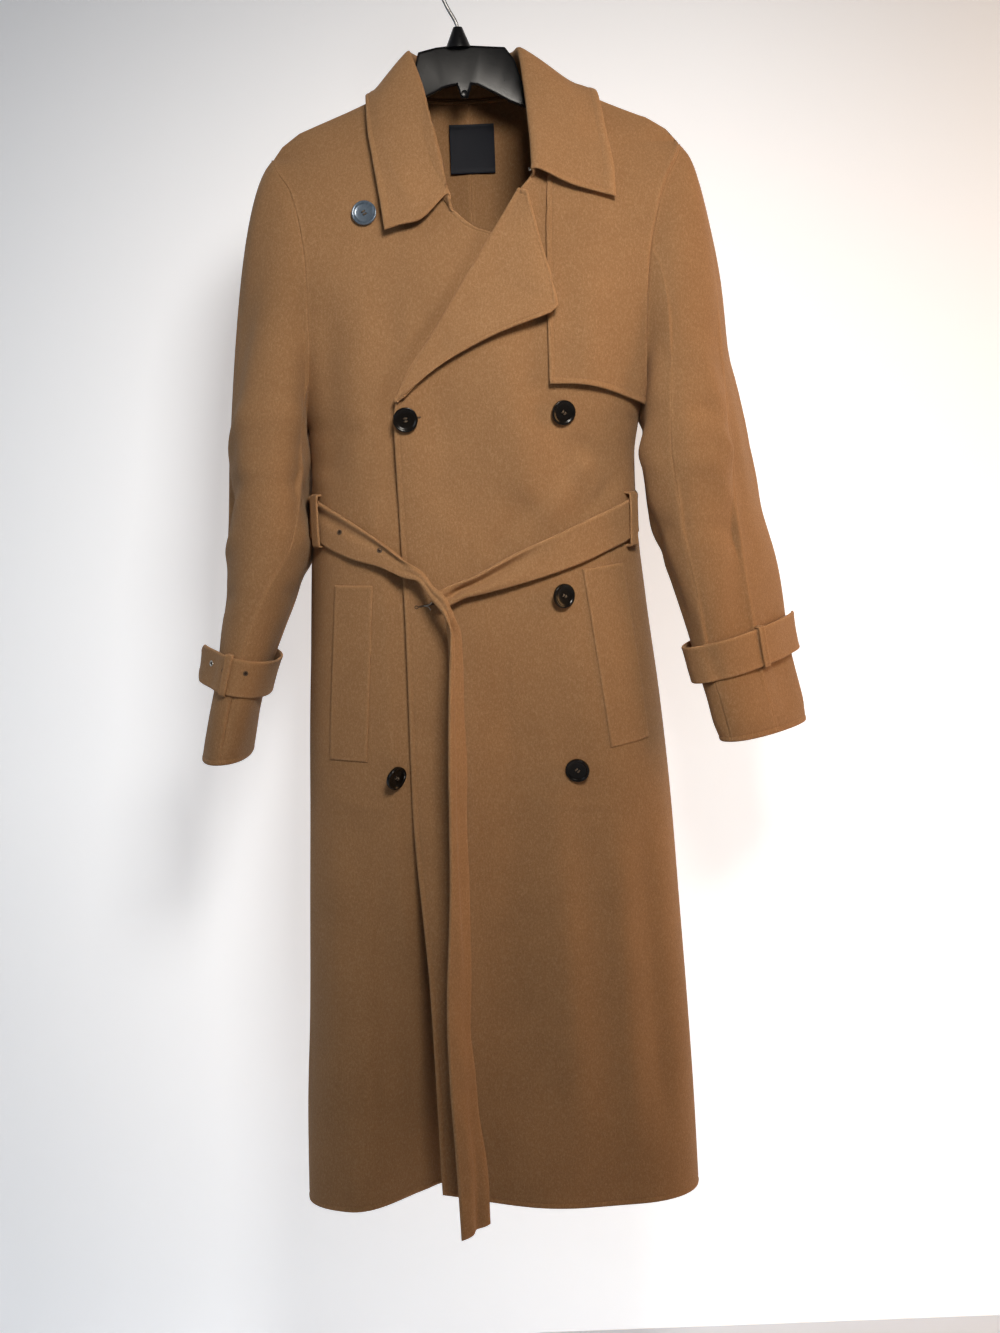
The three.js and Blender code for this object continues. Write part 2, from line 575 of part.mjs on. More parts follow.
function backHalf(sideName) {
  const columns = 12;
  const wearerLeft = sideName === "right";
  const seamSign = wearerLeft ? 1 : -1;
  const grid = BACK_ROWS.map((row) => {
    const sideX = look(BODY, "z", sideName, row.side);
    const seamX = NECK_MID + seamSign * HALF_GAP;
    return Array.from({ length: columns }, (_, c) => {
      const t = wearerLeft ? 1 - c / (columns - 1) : c / (columns - 1);
      const x = lerp(seamX, sideX, towardsSide(t));
      const inner = { x: seamX, z: row.inner, topX: seamX };
      return onBody(x, Math.min(levelOnRow(row, inner, sideX, x, backTop), backTop(x)), 1);
    });
  });
  const sideColumn = wearerLeft ? 0 : columns - 1;
  const square = squareSeams(BACK_ROWS, sideColumn);
  return wall(grid, CLOTH, (normal, r, c) => {
    const atNeck = r === grid.length - 1 && Math.abs(grid[r][c].x - NECK_MID) < NECK_HALF;
    const settled = atNeck ? normal : square(normal, r, c);
    if (c === columns - 1 - sideColumn) {
      settled.x = 0;
    }
    return settled;
  });
}

// ---------------------------------------------------------------- sleeves

// Sleeve angles run from the outer side (0) by the front (90) to the underarm (180) and
// round the back. `side` is -1 for the wearer's right sleeve and 1 for the left one.
function armholePoint(angle, side) {
  const turn = degrees(angle);
  const middle = (TIP.z + UNDERARM_Z) / 2;
  const z = middle + ((TIP.z - UNDERARM_Z) / 2) * Math.cos(turn);
  const face = Math.sin(turn) < 0 ? 1 : -1;
  const rows = face > 0 ? BACK_ROWS : side < 0 ? RIGHT_FRONT_ROWS : LEFT_FRONT_ROWS;
  const levels = rows.map((row) => row.side).filter((level) => level >= UNDERARM_Z);
  let i = 0;
  while (i < levels.length - 2 && z > levels[i + 1]) {
    i += 1;
  }
  const edge = (level) => {
    const x = look(BODY, "z", side < 0 ? "left" : "right", level);
    return onBody(x, level, face);
  };
  const share = clamp((z - levels[i]) / (levels[i + 1] - levels[i]), 0, 1);
  const point = edge(levels[i]).lerp(edge(levels[i + 1]), share);
  point.x += side * ARMHOLE_GAP;
  return point;
}

function ringPoint(table, angle, at, side, out = 0) {
  const value = (column) => lookRow(table, column, at);
  const turn = degrees(angle);
  const squash = (wave) => Math.sign(wave) * Math.abs(wave) ** 0.9;
  const across = (value("minor") + out) * squash(Math.cos(turn));
  const forward = (value("major") + out) * squash(Math.sin(turn));
  const twist = degrees(value("turn"));
  const outward = across * Math.cos(twist) - forward * Math.sin(twist);
  const front = forward * Math.cos(twist) + across * Math.sin(twist);
  const z = value("z") + value("lean") * outward;
  return new THREE.Vector3(value("x") + side * outward, value("y") - front, z);
}

// The cap from the armhole to the first ring, along a cubic curve for each angle.
function capPoint(table, angle, t, side) {
  const start = armholePoint(angle, side);
  const end = ringPoint(table, angle, 0, side);
  const length = start.distanceTo(end);
  const turn = degrees(angle);
  const over = (1 + Math.cos(turn)) / 2;
  const leave = new THREE.Vector3(side * lerp(0.35, 0.85, over), -0.3 * Math.sin(turn), -lerp(1, 0.5, over));
  const first = start.clone().addScaledVector(leave.normalize(), length * lerp(0.3, 0.13, over));
  const arrive = new THREE.Vector3(-side * 0.1, 0.04 * Math.sin(turn), 1).normalize();
  const second = end.clone().addScaledVector(arrive, length * 0.3);
  const curve = new THREE.CubicBezierCurve3(start, first, second, end);
  return curve.getPoint(t);
}

function sleevePiece(table, side, isFront) {
  const columns = isFront ? 9 : 13;
  const capSteps = 5;
  const places = [];
  for (let ring = table.length - 1; ring >= 0; ring -= 1) {
    places.push({ ring });
  }
  for (let i = 1; i <= capSteps; i += 1) {
    places.push({ cap: 1 - i / capSteps });
  }
  const seamGap = 0.6;         // half the gap at both seams, as an angle
  const pointAt = (place, angle) =>
    place.cap === undefined
      ? ringPoint(table, angle, place.ring, side)
      : capPoint(table, angle, place.cap, side);
  const angleAt = (place, c) => {
    const inCap = place.cap !== undefined;
    const lowSeam = lookRow(table, "seam", inCap ? 0 : place.ring);
    const seam = inCap ? lerp(ARMHOLE_SEAM[side < 0 ? "right" : "left"], lowSeam, place.cap) : lowSeam;
    const from = isFront ? OVERARM_SEAM + seamGap : seam + seamGap;
    const to = isFront ? seam - seamGap : OVERARM_SEAM + 360 - seamGap;
    const t = c / (columns - 1);
    return lerp(from, to, side < 0 ? t : 1 - t);
  };
  const grid = places.map((place) =>
    Array.from({ length: columns }, (_, c) => pointAt(place, angleAt(place, c))),
  );
  const top = grid.length - 1;
  return wall(grid, CLOTH, (_, r, c) => {
    const angle = angleAt(places[r], c);
    const along = pointAt(places[r], angle + 3).sub(pointAt(places[r], angle - 3));
    const lower = Math.max(r - 1, 0);
    const upper = Math.min(r + 1, top);
    const up = pointAt(places[upper], angle).sub(pointAt(places[lower], angle));
    const normal = along.cross(up).multiplyScalar(-side).normalize();
    if (r === top) {
      const point = grid[r][c];
      const face = point.y < 0 ? -1 : 1;
      const panel = bodyNormal(point.x - side * GAP, point.z, face);
      normal.x = side * Math.min(normal.x * side, panel.x * side);
    }
    return normal;
  });
}

// ---------------------------------------------------------------- collar, lapel, flap

// The collar's profile at one station: up the stand, over the fold and down the fall.
function collarProfile(at) {
  const value = (column) => lookRow(COLLAR, column, at);
  const face = at > LEFT_SHOULDER_STATION || at < RIGHT_SHOULDER_STATION ? -1 : 1;
  const onRidge = (x, z) => Math.min(z, ridge(x));
  const seam = onBody(value("seamX"), onRidge(value("seamX"), value("seamZ")), face);
  const fold = new THREE.Vector3(value("foldX"), value("foldY"), value("foldZ"));
  const fall = (share, lift) => {
    const x = lerp(value("seamX"), value("edgeX"), share);
    return onBody(x, onRidge(x, lerp(value("seamZ"), value("edgeZ"), share)), face, lift);
  };
  const nearMiddle = fall(0.45, value("lift") + 3);
  const standTop = fold.clone().lerp(seam, 0.18);
  const fallTop = fold.clone().lerp(nearMiddle, 0.14);
  const apart = fallTop.clone().sub(standTop).setLength(2.2);
  return [
    seam.clone().lerp(fold, 0.05),
    seam.clone().lerp(fold, 0.5),
    standTop.sub(apart),
    fold,
    fallTop.add(apart),
    nearMiddle,
    fall(0.75, value("lift") + 1),
    fall(1, value("lift")),
  ];
}

function collar() {
  const steps = 2;
  const last = (COLLAR.length - 1) * steps;
  const stations = Array.from({ length: last + 1 }, (_, i) => collarProfile(i / steps));
  const grid = stations[0].map((_, c) => stations.map((profile) => profile[c]));
  return wall(grid, COLLAR_THICK);
}

// A place on the stand's neck side: `up` is its share of the way to the fold.
function onStand(at, up, out) {
  const [foot, middle] = collarProfile(at);
  const along = collarProfile(at + 0.05)[0].sub(collarProfile(at - 0.05)[0]);
  const rise = middle.clone().sub(foot);
  const normal = along.cross(rise).normalize();
  return foot.clone().addScaledVector(rise, up * 2).addScaledVector(normal, out);
}

function lapel() {
  const steps = 2;
  const columns = 5;
  const grid = [];
  for (let i = (LAPEL.length - 1) * steps; i >= 0; i -= 1) {
    const value = (column) => lookRow(LAPEL, column, i / steps);
    grid.push(
      Array.from({ length: columns }, (_, c) => {
        const t = c / (columns - 1);
        const x = lerp(value("rollX"), value("edgeX"), t);
        const z = lerp(value("rollZ"), value("edgeZ"), t);
        return onBody(x, z, -1, lerp(CLOTH + GAP + 0.5, value("lift"), ease(t)));
      }),
    );
  }
  return wall(grid, CLOTH);
}

function gunFlap() {
  const columns = 7;
  const grid = GUN_FLAP.map((row) => {
    const sideX = look(BODY, "z", "right", row.side) - 2.2;
    return Array.from({ length: columns }, (_, c) => {
      const t = c / (columns - 1);
      const x = lerp(row.innerX, sideX, t);
      const inner = { x: row.innerX, z: row.innerZ, topX: NECK.right };
      const z = Math.min(levelOnRow(row, inner, sideX, x, ridge), ridge(x) - 2);
      return onBody(x, z, -1, row.lift);
    });
  });
  return wall(grid, FLAP_THICK);
}

function pocketWelt({ topX, topZ, lowX, lowZ }) {
  const rows = 6;
  const columns = 3;
  const grid = Array.from({ length: rows }, (_, r) => {
    const up = r / (rows - 1);
    return Array.from({ length: columns }, (_, c) => {
      const t = c / (columns - 1);
      const x = lerp(lerp(lowX[0], lowX[1], t), lerp(topX[0], topX[1], t), up);
      const z = lerp(lerp(lowZ[0], lowZ[1], t), lerp(topZ[0], topZ[1], t), up);
      return onBody(x, z, -1, CLOTH + GAP + 0.9);
    });
  });
  return wall(grid, CLOTH);
}

// ---------------------------------------------------------------- belt and straps

function beltArm(table, sideEnd) {
  const rows = 3;
  const grid = Array.from({ length: rows }, (_, r) =>
    table.map((place) => {
      const z = lerp(place.low, place.top, r / (rows - 1));
      const point = onBody(withinSides(place.x, z), z, -1, BELT_THICK + GAP + FRONT_BELT_SLACK + place.off);
      if (place === sideEnd) {
        point.y = -HALF_GAP;
      }
      return point;
    }),
  );
  return wall(grid, BELT_THICK, (normal, r, c) => {
    if (table[c] === sideEnd) {
      normal.y = 0;
    }
    return normal;
  });
}

function beltBack() {
  const columns = 17;
  const rows = 3;
  const grid = Array.from({ length: rows }, (_, r) => {
    return Array.from({ length: columns }, (_, c) => {
      const t = c / (columns - 1);
      const x = BACK_BELT.middle + BACK_BELT.half * Math.cos(Math.PI * t);
      const low = lerp(BACK_BELT.lowStart, BACK_BELT.lowEnd, t) - BACK_BELT.sag * Math.sin(Math.PI * t);
      const z = low + (BELT_WIDTH * r) / (rows - 1);
      const point = onBody(withinSides(x, z), z, 1, BELT_THICK + GAP + BACK_BELT_SLACK);
      if (c === 0 || c === columns - 1) {
        point.y = HALF_GAP;
      }
      return point;
    });
  });
  return wall(grid, BELT_THICK, (normal, r, c) => {
    if (c === 0 || c === columns - 1) {
      normal.y = 0;
    }
    return normal;
  });
}

function beltLoop({ x, top, low }) {
  const profile = [
    { z: low - 6, out: 2.3 },
    { z: low - 3.5, out: 3.5 },
    { z: low - 1.8, out: 7.8 },
    { z: (low + top) / 2, out: 8.2 },
    { z: top + 1.8, out: 7.8 },
    { z: top + 3.5, out: 3.5 },
    { z: top + 6, out: 2.3 },
  ];
  const grid = profile.map((place) =>
    [-3, 0, 3].map((across) => onBody(x + across, place.z, -1, place.out)),
  );
  return wall(grid, 2);
}

function knot() {
  const form = new THREE.SphereGeometry(1, 14, 9);
  form.rotateX(Math.PI / 2);
  form.scale(KNOT.across, KNOT.deep, KNOT.long);
  form.rotateY(degrees(-KNOT.lean));
  form.translate(KNOT.x, KNOT.y, KNOT.z);
  return form;
}

function tail() {
  const steps = 2;
  const grid = [];
  for (let i = (TAIL.length - 1) * steps; i >= 0; i -= 1) {
    const value = (column) => lookRow(TAIL, column, i / steps);
    grid.push(
      [0, 0.5, 1].map((t) => {
        const x = lerp(value("left"), value("right"), t);
        const y = lerp(value("nearY"), value("farY"), t);
        return new THREE.Vector3(x, y, value("z"));
      }),
    );
  }
  return wall(grid, BELT_THICK);
}

// A cuff strap round the sleeve, from its free tip by the front to its sewn end. It
// stands off the sleeve loosely at its front edge and more at its tip.
function cuffStrap(table, side, { ring, tip, sewn, tipOut, slackAt, slack, tilt }) {
  const columns = 24;
  const rows = 3;
  const spacing = table[3].z - table[4].z;
  const grid = Array.from({ length: rows }, (_, r) => {
    const row = Array.from({ length: columns }, (_, c) => {
      const t = c / (columns - 1);
      const angle = lerp(tip, sewn, t);
      const away = (angle - slackAt) / 40;
      const loose = slack * Math.exp(-away * away) + tipOut * ease((0.16 - t) / 0.16);
      const up = (r / (rows - 1) - 0.5) * STRAP_WIDTH;
      const point = ringPoint(table, angle, ring - up / spacing, side, STRAP_CLEAR + loose);
      point.z += tilt * side * (point.x - lookRow(table, "x", ring));
      return point;
    });
    return side < 0 ? row : row.reverse();
  });
  return wall(grid, STRAP_THICK);
}

// The narrow loop that holds a cuff strap down.
function cuffLoop(table, side, { ring, at, tilt, slack }) {
  const half = STRAP_WIDTH / 2;
  const over = STRAP_CLEAR + slack + 2.4;
  const profile = [
    { z: -half - 5, out: 2.7 },
    { z: -half - 2.2, out: over - 0.3 },
    { z: 0, out: over },
    { z: half + 2.2, out: over - 0.3 },
    { z: half + 5, out: 2.7 },
  ];
  const spacing = table[3].z - table[4].z;
  const grid = profile.map((place) => {
    const row = [-5, 0, 5].map((across) => {
      const angle = at + across * 1.2;
      const point = ringPoint(table, angle, ring - place.z / spacing, side, place.out);
      point.z += tilt * side * (point.x - lookRow(table, "x", ring));
      return point;
    });
    return side < 0 ? row : row.reverse();
  });
  return wall(grid, 2);
}

// ---------------------------------------------------------------- trims

// A dished button whose back lies just off the cloth at (x, z).
function button({ x, z, shank }, form) {
  const r = BUTTON_RADIUS;
  const t = BUTTON_THICK;
  const profile = [
    new THREE.Vector2(0, 0),
    new THREE.Vector2(r * 0.8, 0),
    new THREE.Vector2(r, t * 0.4),
    new THREE.Vector2(r, t * 0.7),
    new THREE.Vector2(r * 0.86, t),
    new THREE.Vector2(r * 0.7, t * 0.75),
    new THREE.Vector2(0, t * 0.6),
  ];
  const geometry = new THREE.LatheGeometry(profile, 18);
  const seat = onBody(x, z, -1, shank, form);
  const normal = onBody(x, z, -1, 1, form).sub(onBody(x, z, -1, 0, form)).normalize();
  const turn = new THREE.Quaternion().setFromUnitVectors(new THREE.Vector3(0, 1, 0), normal);
  geometry.applyQuaternion(turn);
  geometry.translate(seat.x, seat.y, seat.z);
  return geometry;
}

function label() {
  const grid = [0, 0.5, 1].map((up) =>
    [0, 0.25, 0.5, 0.75, 1].map((t) => {
      const x = lerp(LABEL.left, LABEL.right, t);
      const z = lerp(LABEL.low, LABEL.top, up);
      return onBody(x, z, 1, -(CLOTH + GAP + 2.4));
    }),
  );
  return wall(grid, 1);
}

// A wire bent along points, closed at both ends.
function wire(points, radius, sides, steps) {
  const section = new THREE.Shape();
  section.absarc(0, 0, radius, 0, Math.PI * 2, false);
  return new THREE.ExtrudeGeometry(section, {
    steps,
    curveSegments: sides / 2,
    bevelEnabled: false,
    extrudePath: new THREE.CatmullRomCurve3(points),
  });
}

// The eye's bar stands off the right end of the collar's stand, the hook off its left.
function collarEye() {
  const points = [onStand(0.5, 0.25, 1.8), onStand(0.4, 0.45, 3.8), onStand(0.5, 0.65, 1.8)];
  return wire(points, TRIM_WIRE, 8, 8);
}

function collarHook() {
  const points = [
    onStand(12.7, 0.2, 0.6),
    onStand(12.86, 0.45, 1.8),
    onStand(12.94, 0.4, 3.8),
    onStand(12.84, 0.3, 4.4),
  ];
  return wire(points, TRIM_WIRE, 8, 8);
}

// ---------------------------------------------------------------- hanger

function hangerBody() {
  const outline = [
    [-8, -97], [-5, -91], [7, -91], [10, -97], [18, -109], [50, -112], [57, -124],
    [64, -146], [76, -159], [100, -167], [140, -181], [188, -198], [203, -210], [205, -218],
    [198, -222], [182, -212], [138, -197], [95, -183], [67, -173], [38, -159], [12, -148],
    [9, -160], [2, -160], [-1, -147], [-14, -150], [-33, -159], [-60, -172], [-80, -178],
    [-124, -193], [-156, -207], [-168, -221], [-175, -217], [-171, -207], [-157, -195],
    [-124, -182], [-84, -168], [-60, -158], [-48, -142], [-40, -113], [-16, -109],
  ];
  const shape = new THREE.Shape(outline.map(([x, z]) => new THREE.Vector2(x, z)));
  const geometry = new THREE.ExtrudeGeometry(shape, {
    depth: HANGER_THICK - 2,
    bevelEnabled: true,
    bevelThickness: 1,
    bevelSize: 0.8,
    bevelSegments: 1,
  });
  geometry.rotateX(Math.PI / 2);
  geometry.translate(0, (HANGER_THICK - 2) / 2, 0);
  return geometry;
}

function hangerHook() {
  const r = HOOK_INNER + WIRE_RADIUS;
  const top = -HOOK_INNER;
  const points = [
    new THREE.Vector3(1, 0, -89.2 + GAP),
    new THREE.Vector3(-2, 0, -82),
    new THREE.Vector3(-11, 0, -68),
    new THREE.Vector3(-r * 0.86, 0, top - r * 0.9),
  ];
  for (let angle = 190; angle >= -30; angle -= 20) {
    const turn = degrees(angle);
    points.push(new THREE.Vector3(r * Math.cos(turn), 0, top + r * Math.sin(turn)));
  }
  return wire(points, WIRE_RADIUS, 8, 44);
}

// ---------------------------------------------------------------- assembly

const coat = new THREE.Group();

function add(name, geometry, finish) {
  const mesh = new THREE.Mesh(geometry, new THREE.MeshStandardMaterial(FINISH[finish]));
  mesh.name = name;
  coat.add(mesh);
}

add("hanger_body", hangerBody(), "plastic");
add("hanger_hook", hangerHook(), "steel");
add("front_left", leftFront(), "wool");
add("front_right", rightFront(), "wool");
add("back_left", backHalf("right"), "wool");
add("back_right", backHalf("left"), "wool");
add("sleeve_right_front", sleevePiece(RIGHT_SLEEVE, -1, true), "wool");
add("sleeve_right_back", sleevePiece(RIGHT_SLEEVE, -1, false), "wool");
add("sleeve_left_front", sleevePiece(LEFT_SLEEVE, 1, true), "wool");
add("sleeve_left_back", sleevePiece(LEFT_SLEEVE, 1, false), "wool");
for (const [name, table, side] of [["right", RIGHT_SLEEVE, -1], ["left", LEFT_SLEEVE, 1]]) {
  const strap = STRAPS[name];
  const loop = { ring: strap.ring, at: strap.loopAt, tilt: strap.tilt, slack: 0.6 };
  add(`cuff_strap_${name}`, cuffStrap(table, side, strap), "wool");
  add(`cuff_strap_loop_${name}`, cuffLoop(table, side, loop), "wool");
}
add("collar", collar(), "wool");
add("lapel_left", lapel(), "wool");
add("gun_flap", gunFlap(), "wool");
for (const [name, corners] of Object.entries(WELTS)) {
  add(name, pocketWelt(corners), "wool");
}
add("belt_back", beltBack(), "wool");
add("belt_right_arm", beltArm(RIGHT_ARM, RIGHT_ARM[0]), "wool");
add("belt_left_arm", beltArm(LEFT_ARM, LEFT_ARM[LEFT_ARM.length - 1]), "wool");
add("belt_knot", knot(), "wool");
add("belt_tail", tail(), "wool");
for (const [name, place] of Object.entries(BELT_LOOPS)) {
  add(name, beltLoop(place), "wool");
}
add("label", label(), "label");
add("collar_hook", collarHook(), "steel");
add("collar_eye", collarEye(), "steel");
for (const [name, place] of Object.entries(BUTTONS)) {
  const form = name === "button_low_right" ? underDepth : depth;
  add(name, button(place, form), name === "button_shoulder" ? "slate" : "horn");
}

export default coat;
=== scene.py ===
# A belted camel wool trench coat on a hanger, in metres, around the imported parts.
# The coat faces -Y and hangs from the rail at the origin, so the wearer's left is +X.

import math

import bmesh
import bpy
import numpy as np
from mathutils import Matrix, Vector


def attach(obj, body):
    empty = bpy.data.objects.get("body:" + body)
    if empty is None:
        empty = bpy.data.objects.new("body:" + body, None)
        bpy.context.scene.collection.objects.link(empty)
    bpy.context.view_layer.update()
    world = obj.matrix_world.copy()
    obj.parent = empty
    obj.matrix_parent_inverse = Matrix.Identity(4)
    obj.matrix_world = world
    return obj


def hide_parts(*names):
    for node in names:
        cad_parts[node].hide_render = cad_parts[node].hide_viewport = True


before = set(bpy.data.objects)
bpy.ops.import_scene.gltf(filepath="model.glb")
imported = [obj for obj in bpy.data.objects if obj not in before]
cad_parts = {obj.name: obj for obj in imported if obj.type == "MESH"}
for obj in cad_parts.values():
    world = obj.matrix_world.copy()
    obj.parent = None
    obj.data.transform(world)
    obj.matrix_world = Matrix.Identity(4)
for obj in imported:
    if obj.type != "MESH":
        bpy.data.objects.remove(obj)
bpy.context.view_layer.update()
bpy.ops.object.select_all(action="DESELECT")


# ------------------------------------------------------------------ left front
# The front that buttons over the other: one length of double-faced wool, cut in one
# with its lapel as far as the roll line. Edges and hem are turned in and slip-stitched
# by hand 6 mm from the fold; side, shoulder and armhole edges are butted and sewn.

CLOTH = 2.4                    # all lengths of cloth are in millimetres
HALF_GAP = 0.15                # between a front or back and the plane of the side seams
HEM_OVERLAP = -0.15            # what that gap becomes down the skirt, where the seams lap
LAP_START, LAP_RUN = -900, 250
UNDERARM_Z = -490
TIP_Z = -215                   # shoulder ends, at the tops of the armholes
NECK_LEFT, NECK_RIGHT, NECK_Z = -66, 82, -150
NECK_MID = (NECK_LEFT + NECK_RIGHT) / 2
NECK_HALF = (NECK_RIGHT - NECK_LEFT) / 2
NECK_DOME = 60                 # rise of the imagined ridge over the neck opening
BACK_NECK_Z = -155
ARMHOLE_DEPTH = 50
RIDGE_FALL = 300
SEAM_ROUNDING = 0.45           # a seamed edge is pressed nearly square


def table(columns, *rows):
    return {name: np.array(values, float) for name, values in zip(columns.split(), zip(*rows))}


BODY = table(
    "z left right middle front back",
    (-1330, -213, 216, 0, 76, 76),
    (-1224, -209, 213, 0, 76, 74),
    (-1111, -201, 208, 0, 76, 72),
    (-999, -195, 202, 0, 76, 70),
    (-889, -189, 196, 0, 76, 67),
    (-781, -183, 187, 0, 75, 63),
    (-674, -177, 175, -1, 73, 58),
    (-590, -172, 168, -1, 72, 55),
    (-527, -169, 167, 0, 75, 59),
    (-490, -170, 172, 2, 77, 63),
    (-428, -163, 179, 6, 78, 67),
    (-378, -161, 182, 9, 77, 69),
    (-329, -161, 186, 11, 75, 71),
    (-288, -165, 194, 13, 72, 73),
    (-253, -173, 205, 14, 70, 75),
    (-215, -192, 222, 15, 68, 77),
    (-90, -192, 222, 15, 66, 80),
)
SHOULDER = table(
    "x z",
    (-192, -215), (-182, -202), (-164, -189), (-127, -174), (-66, -150),
    (82, -150), (140, -168), (188, -186), (208, -199), (222, -215),
)
OVER_EDGE = table(
    "z x",
    (-1330, -63), (-1082, -67), (-869, -77), (-703, -76), (-601, -77), (-486, -78.5),
    (-466, -76), (-363, -10), (-261, 57), (-245, 70), (-215, 80), (-180, 84), (-150, 82),
)
LEFT_FRONT_ROWS = table(
    "inner side dip curve",
    (-1299, -1326, 7, 0), (-1205, -1215, 3, 0), (-1098, -1100, 0, 0), (-985, -985, 0, 0),
    (-870, -870, 0, 0), (-770, -770, 0, 0), (-680, -682, 0, 0), (-620, -620, 0, 0),
    (-580, -580, 0, 0), (-535, -535, 0, 0), (-486, -490, 0, 0), (-466, -479, 0, 0),
    (-420, -455, 0, 0), (-363, -418, 0, 0), (-310, -370, 0, 0), (-261, -322, 0, 0.1),
    (-225, -278, 0, 0.3), (-188, -245, 0, 0.65), (-164, -226, 0, 0.9), (-150, -215, 0, 1),
)
# Flutes of the hanging skirt, back (1) and front (-1).
FLUTES = table(
    "face hem_x top_x top_z width out",
    (1, -128, -90, -640, 46, 9),
    (1, -52, -34, -560, 34, -8),
    (1, 46, 34, -620, 42, 8),
    (1, 122, 84, -560, 36, -7),
    (-1, 128, 105, -820, 40, -5),
    (-1, 40, 45, -900, 46, 4),
)


def ease(value):
    t = np.clip(value, 0, 1)
    return t * t * (3 - 2 * t)


def lerp(a, b, t):
    return a + (b - a) * t


def smooth_look(keys, values, at):
    """A curve through a table's column that never overshoots a row."""
    if keys[0] > keys[-1]:
        keys, values = keys[::-1], values[::-1]
    step = np.diff(keys)
    secant = np.diff(values) / step
    product = secant[:-1] * secant[1:]
    total = np.where(product > 0, secant[:-1] + secant[1:], 1)
    slope = np.concatenate([secant[:1], np.where(product > 0, 2 * product / total, 0), secant[-1:]])
    at = np.asarray(at, float)
    i = np.clip(np.searchsorted(keys, at) - 1, 0, len(step) - 1)
    span = step[i]
    t = np.clip((at - keys[i]) / span, 0, 1)
    return (
        values[i] * (1 + 2 * t) * (1 - t) ** 2
        + slope[i] * span * t * (1 - t) ** 2
        + values[i + 1] * t * t * (3 - 2 * t)
        + slope[i + 1] * span * t * t * (t - 1)
    )


def row_look(rows, column, at):
    values = rows[column]
    return smooth_look(np.arange(len(values), dtype=float), values, at)


def ridge(x):
    over_neck = NECK_Z + NECK_DOME * (1 - ((x - NECK_MID) / NECK_HALF) ** 2)
    inside = (x > NECK_LEFT) & (x < NECK_RIGHT)
    return np.where(inside, over_neck, np.interp(x, SHOULDER["x"], SHOULDER["z"]))


def armhole_depth(z):
    middle = (TIP_Z + UNDERARM_Z) / 2
    reach = (z - middle) / ((TIP_Z - UNDERARM_Z) / 2)
    return ARMHOLE_DEPTH * np.sqrt(np.clip(1 - reach**2, 0, 1))


def flute_height(x, z, face):
    height = np.zeros_like(x)
    for side, hem_x, top_x, top_z, width, out in zip(*FLUTES.values()):
        if side == face:
            down = np.clip((top_z - z) / (top_z - BODY["z"][0]), 0, 1)
            across = (x - lerp(top_x, hem_x, down)) / width
            height = height + out * down**1.3 * np.exp(-(across**2))
    return height


def body_depth(x, z, face):
    """How far the cloth stands off the plane of the shoulder and side seams."""
    middle = smooth_look(BODY["z"], BODY["middle"], z)
    left = smooth_look(BODY["z"], BODY["left"], z)
    right = smooth_look(BODY["z"], BODY["right"], z)
    side = np.where(x < middle, left, right)
    full = smooth_look(BODY["z"], BODY["front" if face < 0 else "back"], z)
    drop = np.clip((ridge(x) - z) / RIDGE_FALL, 0, 1)
    inside = full * np.sqrt(1 - (1 - drop) ** 2)
    edge = armhole_depth(z)
    across = np.clip(np.abs((x - middle) / (side - middle)), 0, 1)
    open_share = 1 - across**3
    plain = np.sqrt(np.clip(edge**2 + (inside**2 - edge**2) * open_share, 0, None))
    return plain + flute_height(x, z, face) * ease(open_share / 0.4)


def body_normal(x, z, face, form=body_depth):
    step = 0.5
    near_x = x + np.where(x < NECK_MID, step, -step)
    near_z = z - step
    slope_x = (form(near_x + step, near_z, face) - form(near_x - step, near_z, face)) / (2 * step)
    slope_z = (form(near_x, near_z + step, face) - form(near_x, near_z - step, face)) / (2 * step)
    normal = np.stack([-slope_x, np.full_like(slope_x, face), -slope_z], axis=-1)
    return normal / np.linalg.norm(normal, axis=-1, keepdims=True)


def on_body(x, z, face, out=0.0, form=body_depth):
    x, z, out = np.broadcast_arrays(np.asarray(x, float), np.asarray(z, float), np.asarray(out, float))
    half_gap = lerp(HALF_GAP, HEM_OVERLAP, ease((LAP_START - z) / LAP_RUN))
    points = np.stack([x, face * (half_gap + form(x, z, face)), z], axis=-1)
    return points + body_normal(x, z, face, form) * out[..., None]


def level_on_row(inner_z, side_z, dip, curve, inner_x, top_x, side_x, x, top_line):
    t = (x - inner_x) / (side_x - inner_x)
    chord = lerp(top_line(top_x), top_line(side_x), (x - top_x) / (side_x - top_x))
    curved = curve * (top_line(x) - chord)
    return lerp(inner_z, side_z, t) - dip * np.sin(math.pi * np.clip(t, 0, 1)) + curved


def border_steps(kind):
    """Distances from an edge at which the cloth gets a line of points."""
    if kind == "stitched":
        return [0, 0.22, 0.7, 1.5, 2.8, 4.3, 5.2, 5.8, 6.3, 7.0, 8.2, 10.5]
    return [0, 0.22, 0.7, 1.5, 3.0]


def spread(length, low_kind, high_kind, inner):
    """Places from 0 to length, close together at both edges. `length` may be an array."""
    length = np.asarray(length, float)[..., None]
    low = np.array(border_steps(low_kind))
    high = np.array(border_steps(high_kind))
    room = 0.86 * length / (low[-1] + high[-1])
    scale = np.minimum(1, room)
    start = low * scale
    end = length - high[::-1] * scale
    between = start[..., -1:] + (end[..., :1] - start[..., -1:]) * (np.arange(1, inner) / inner)
    return np.concatenate([start, between, end], axis=-1)


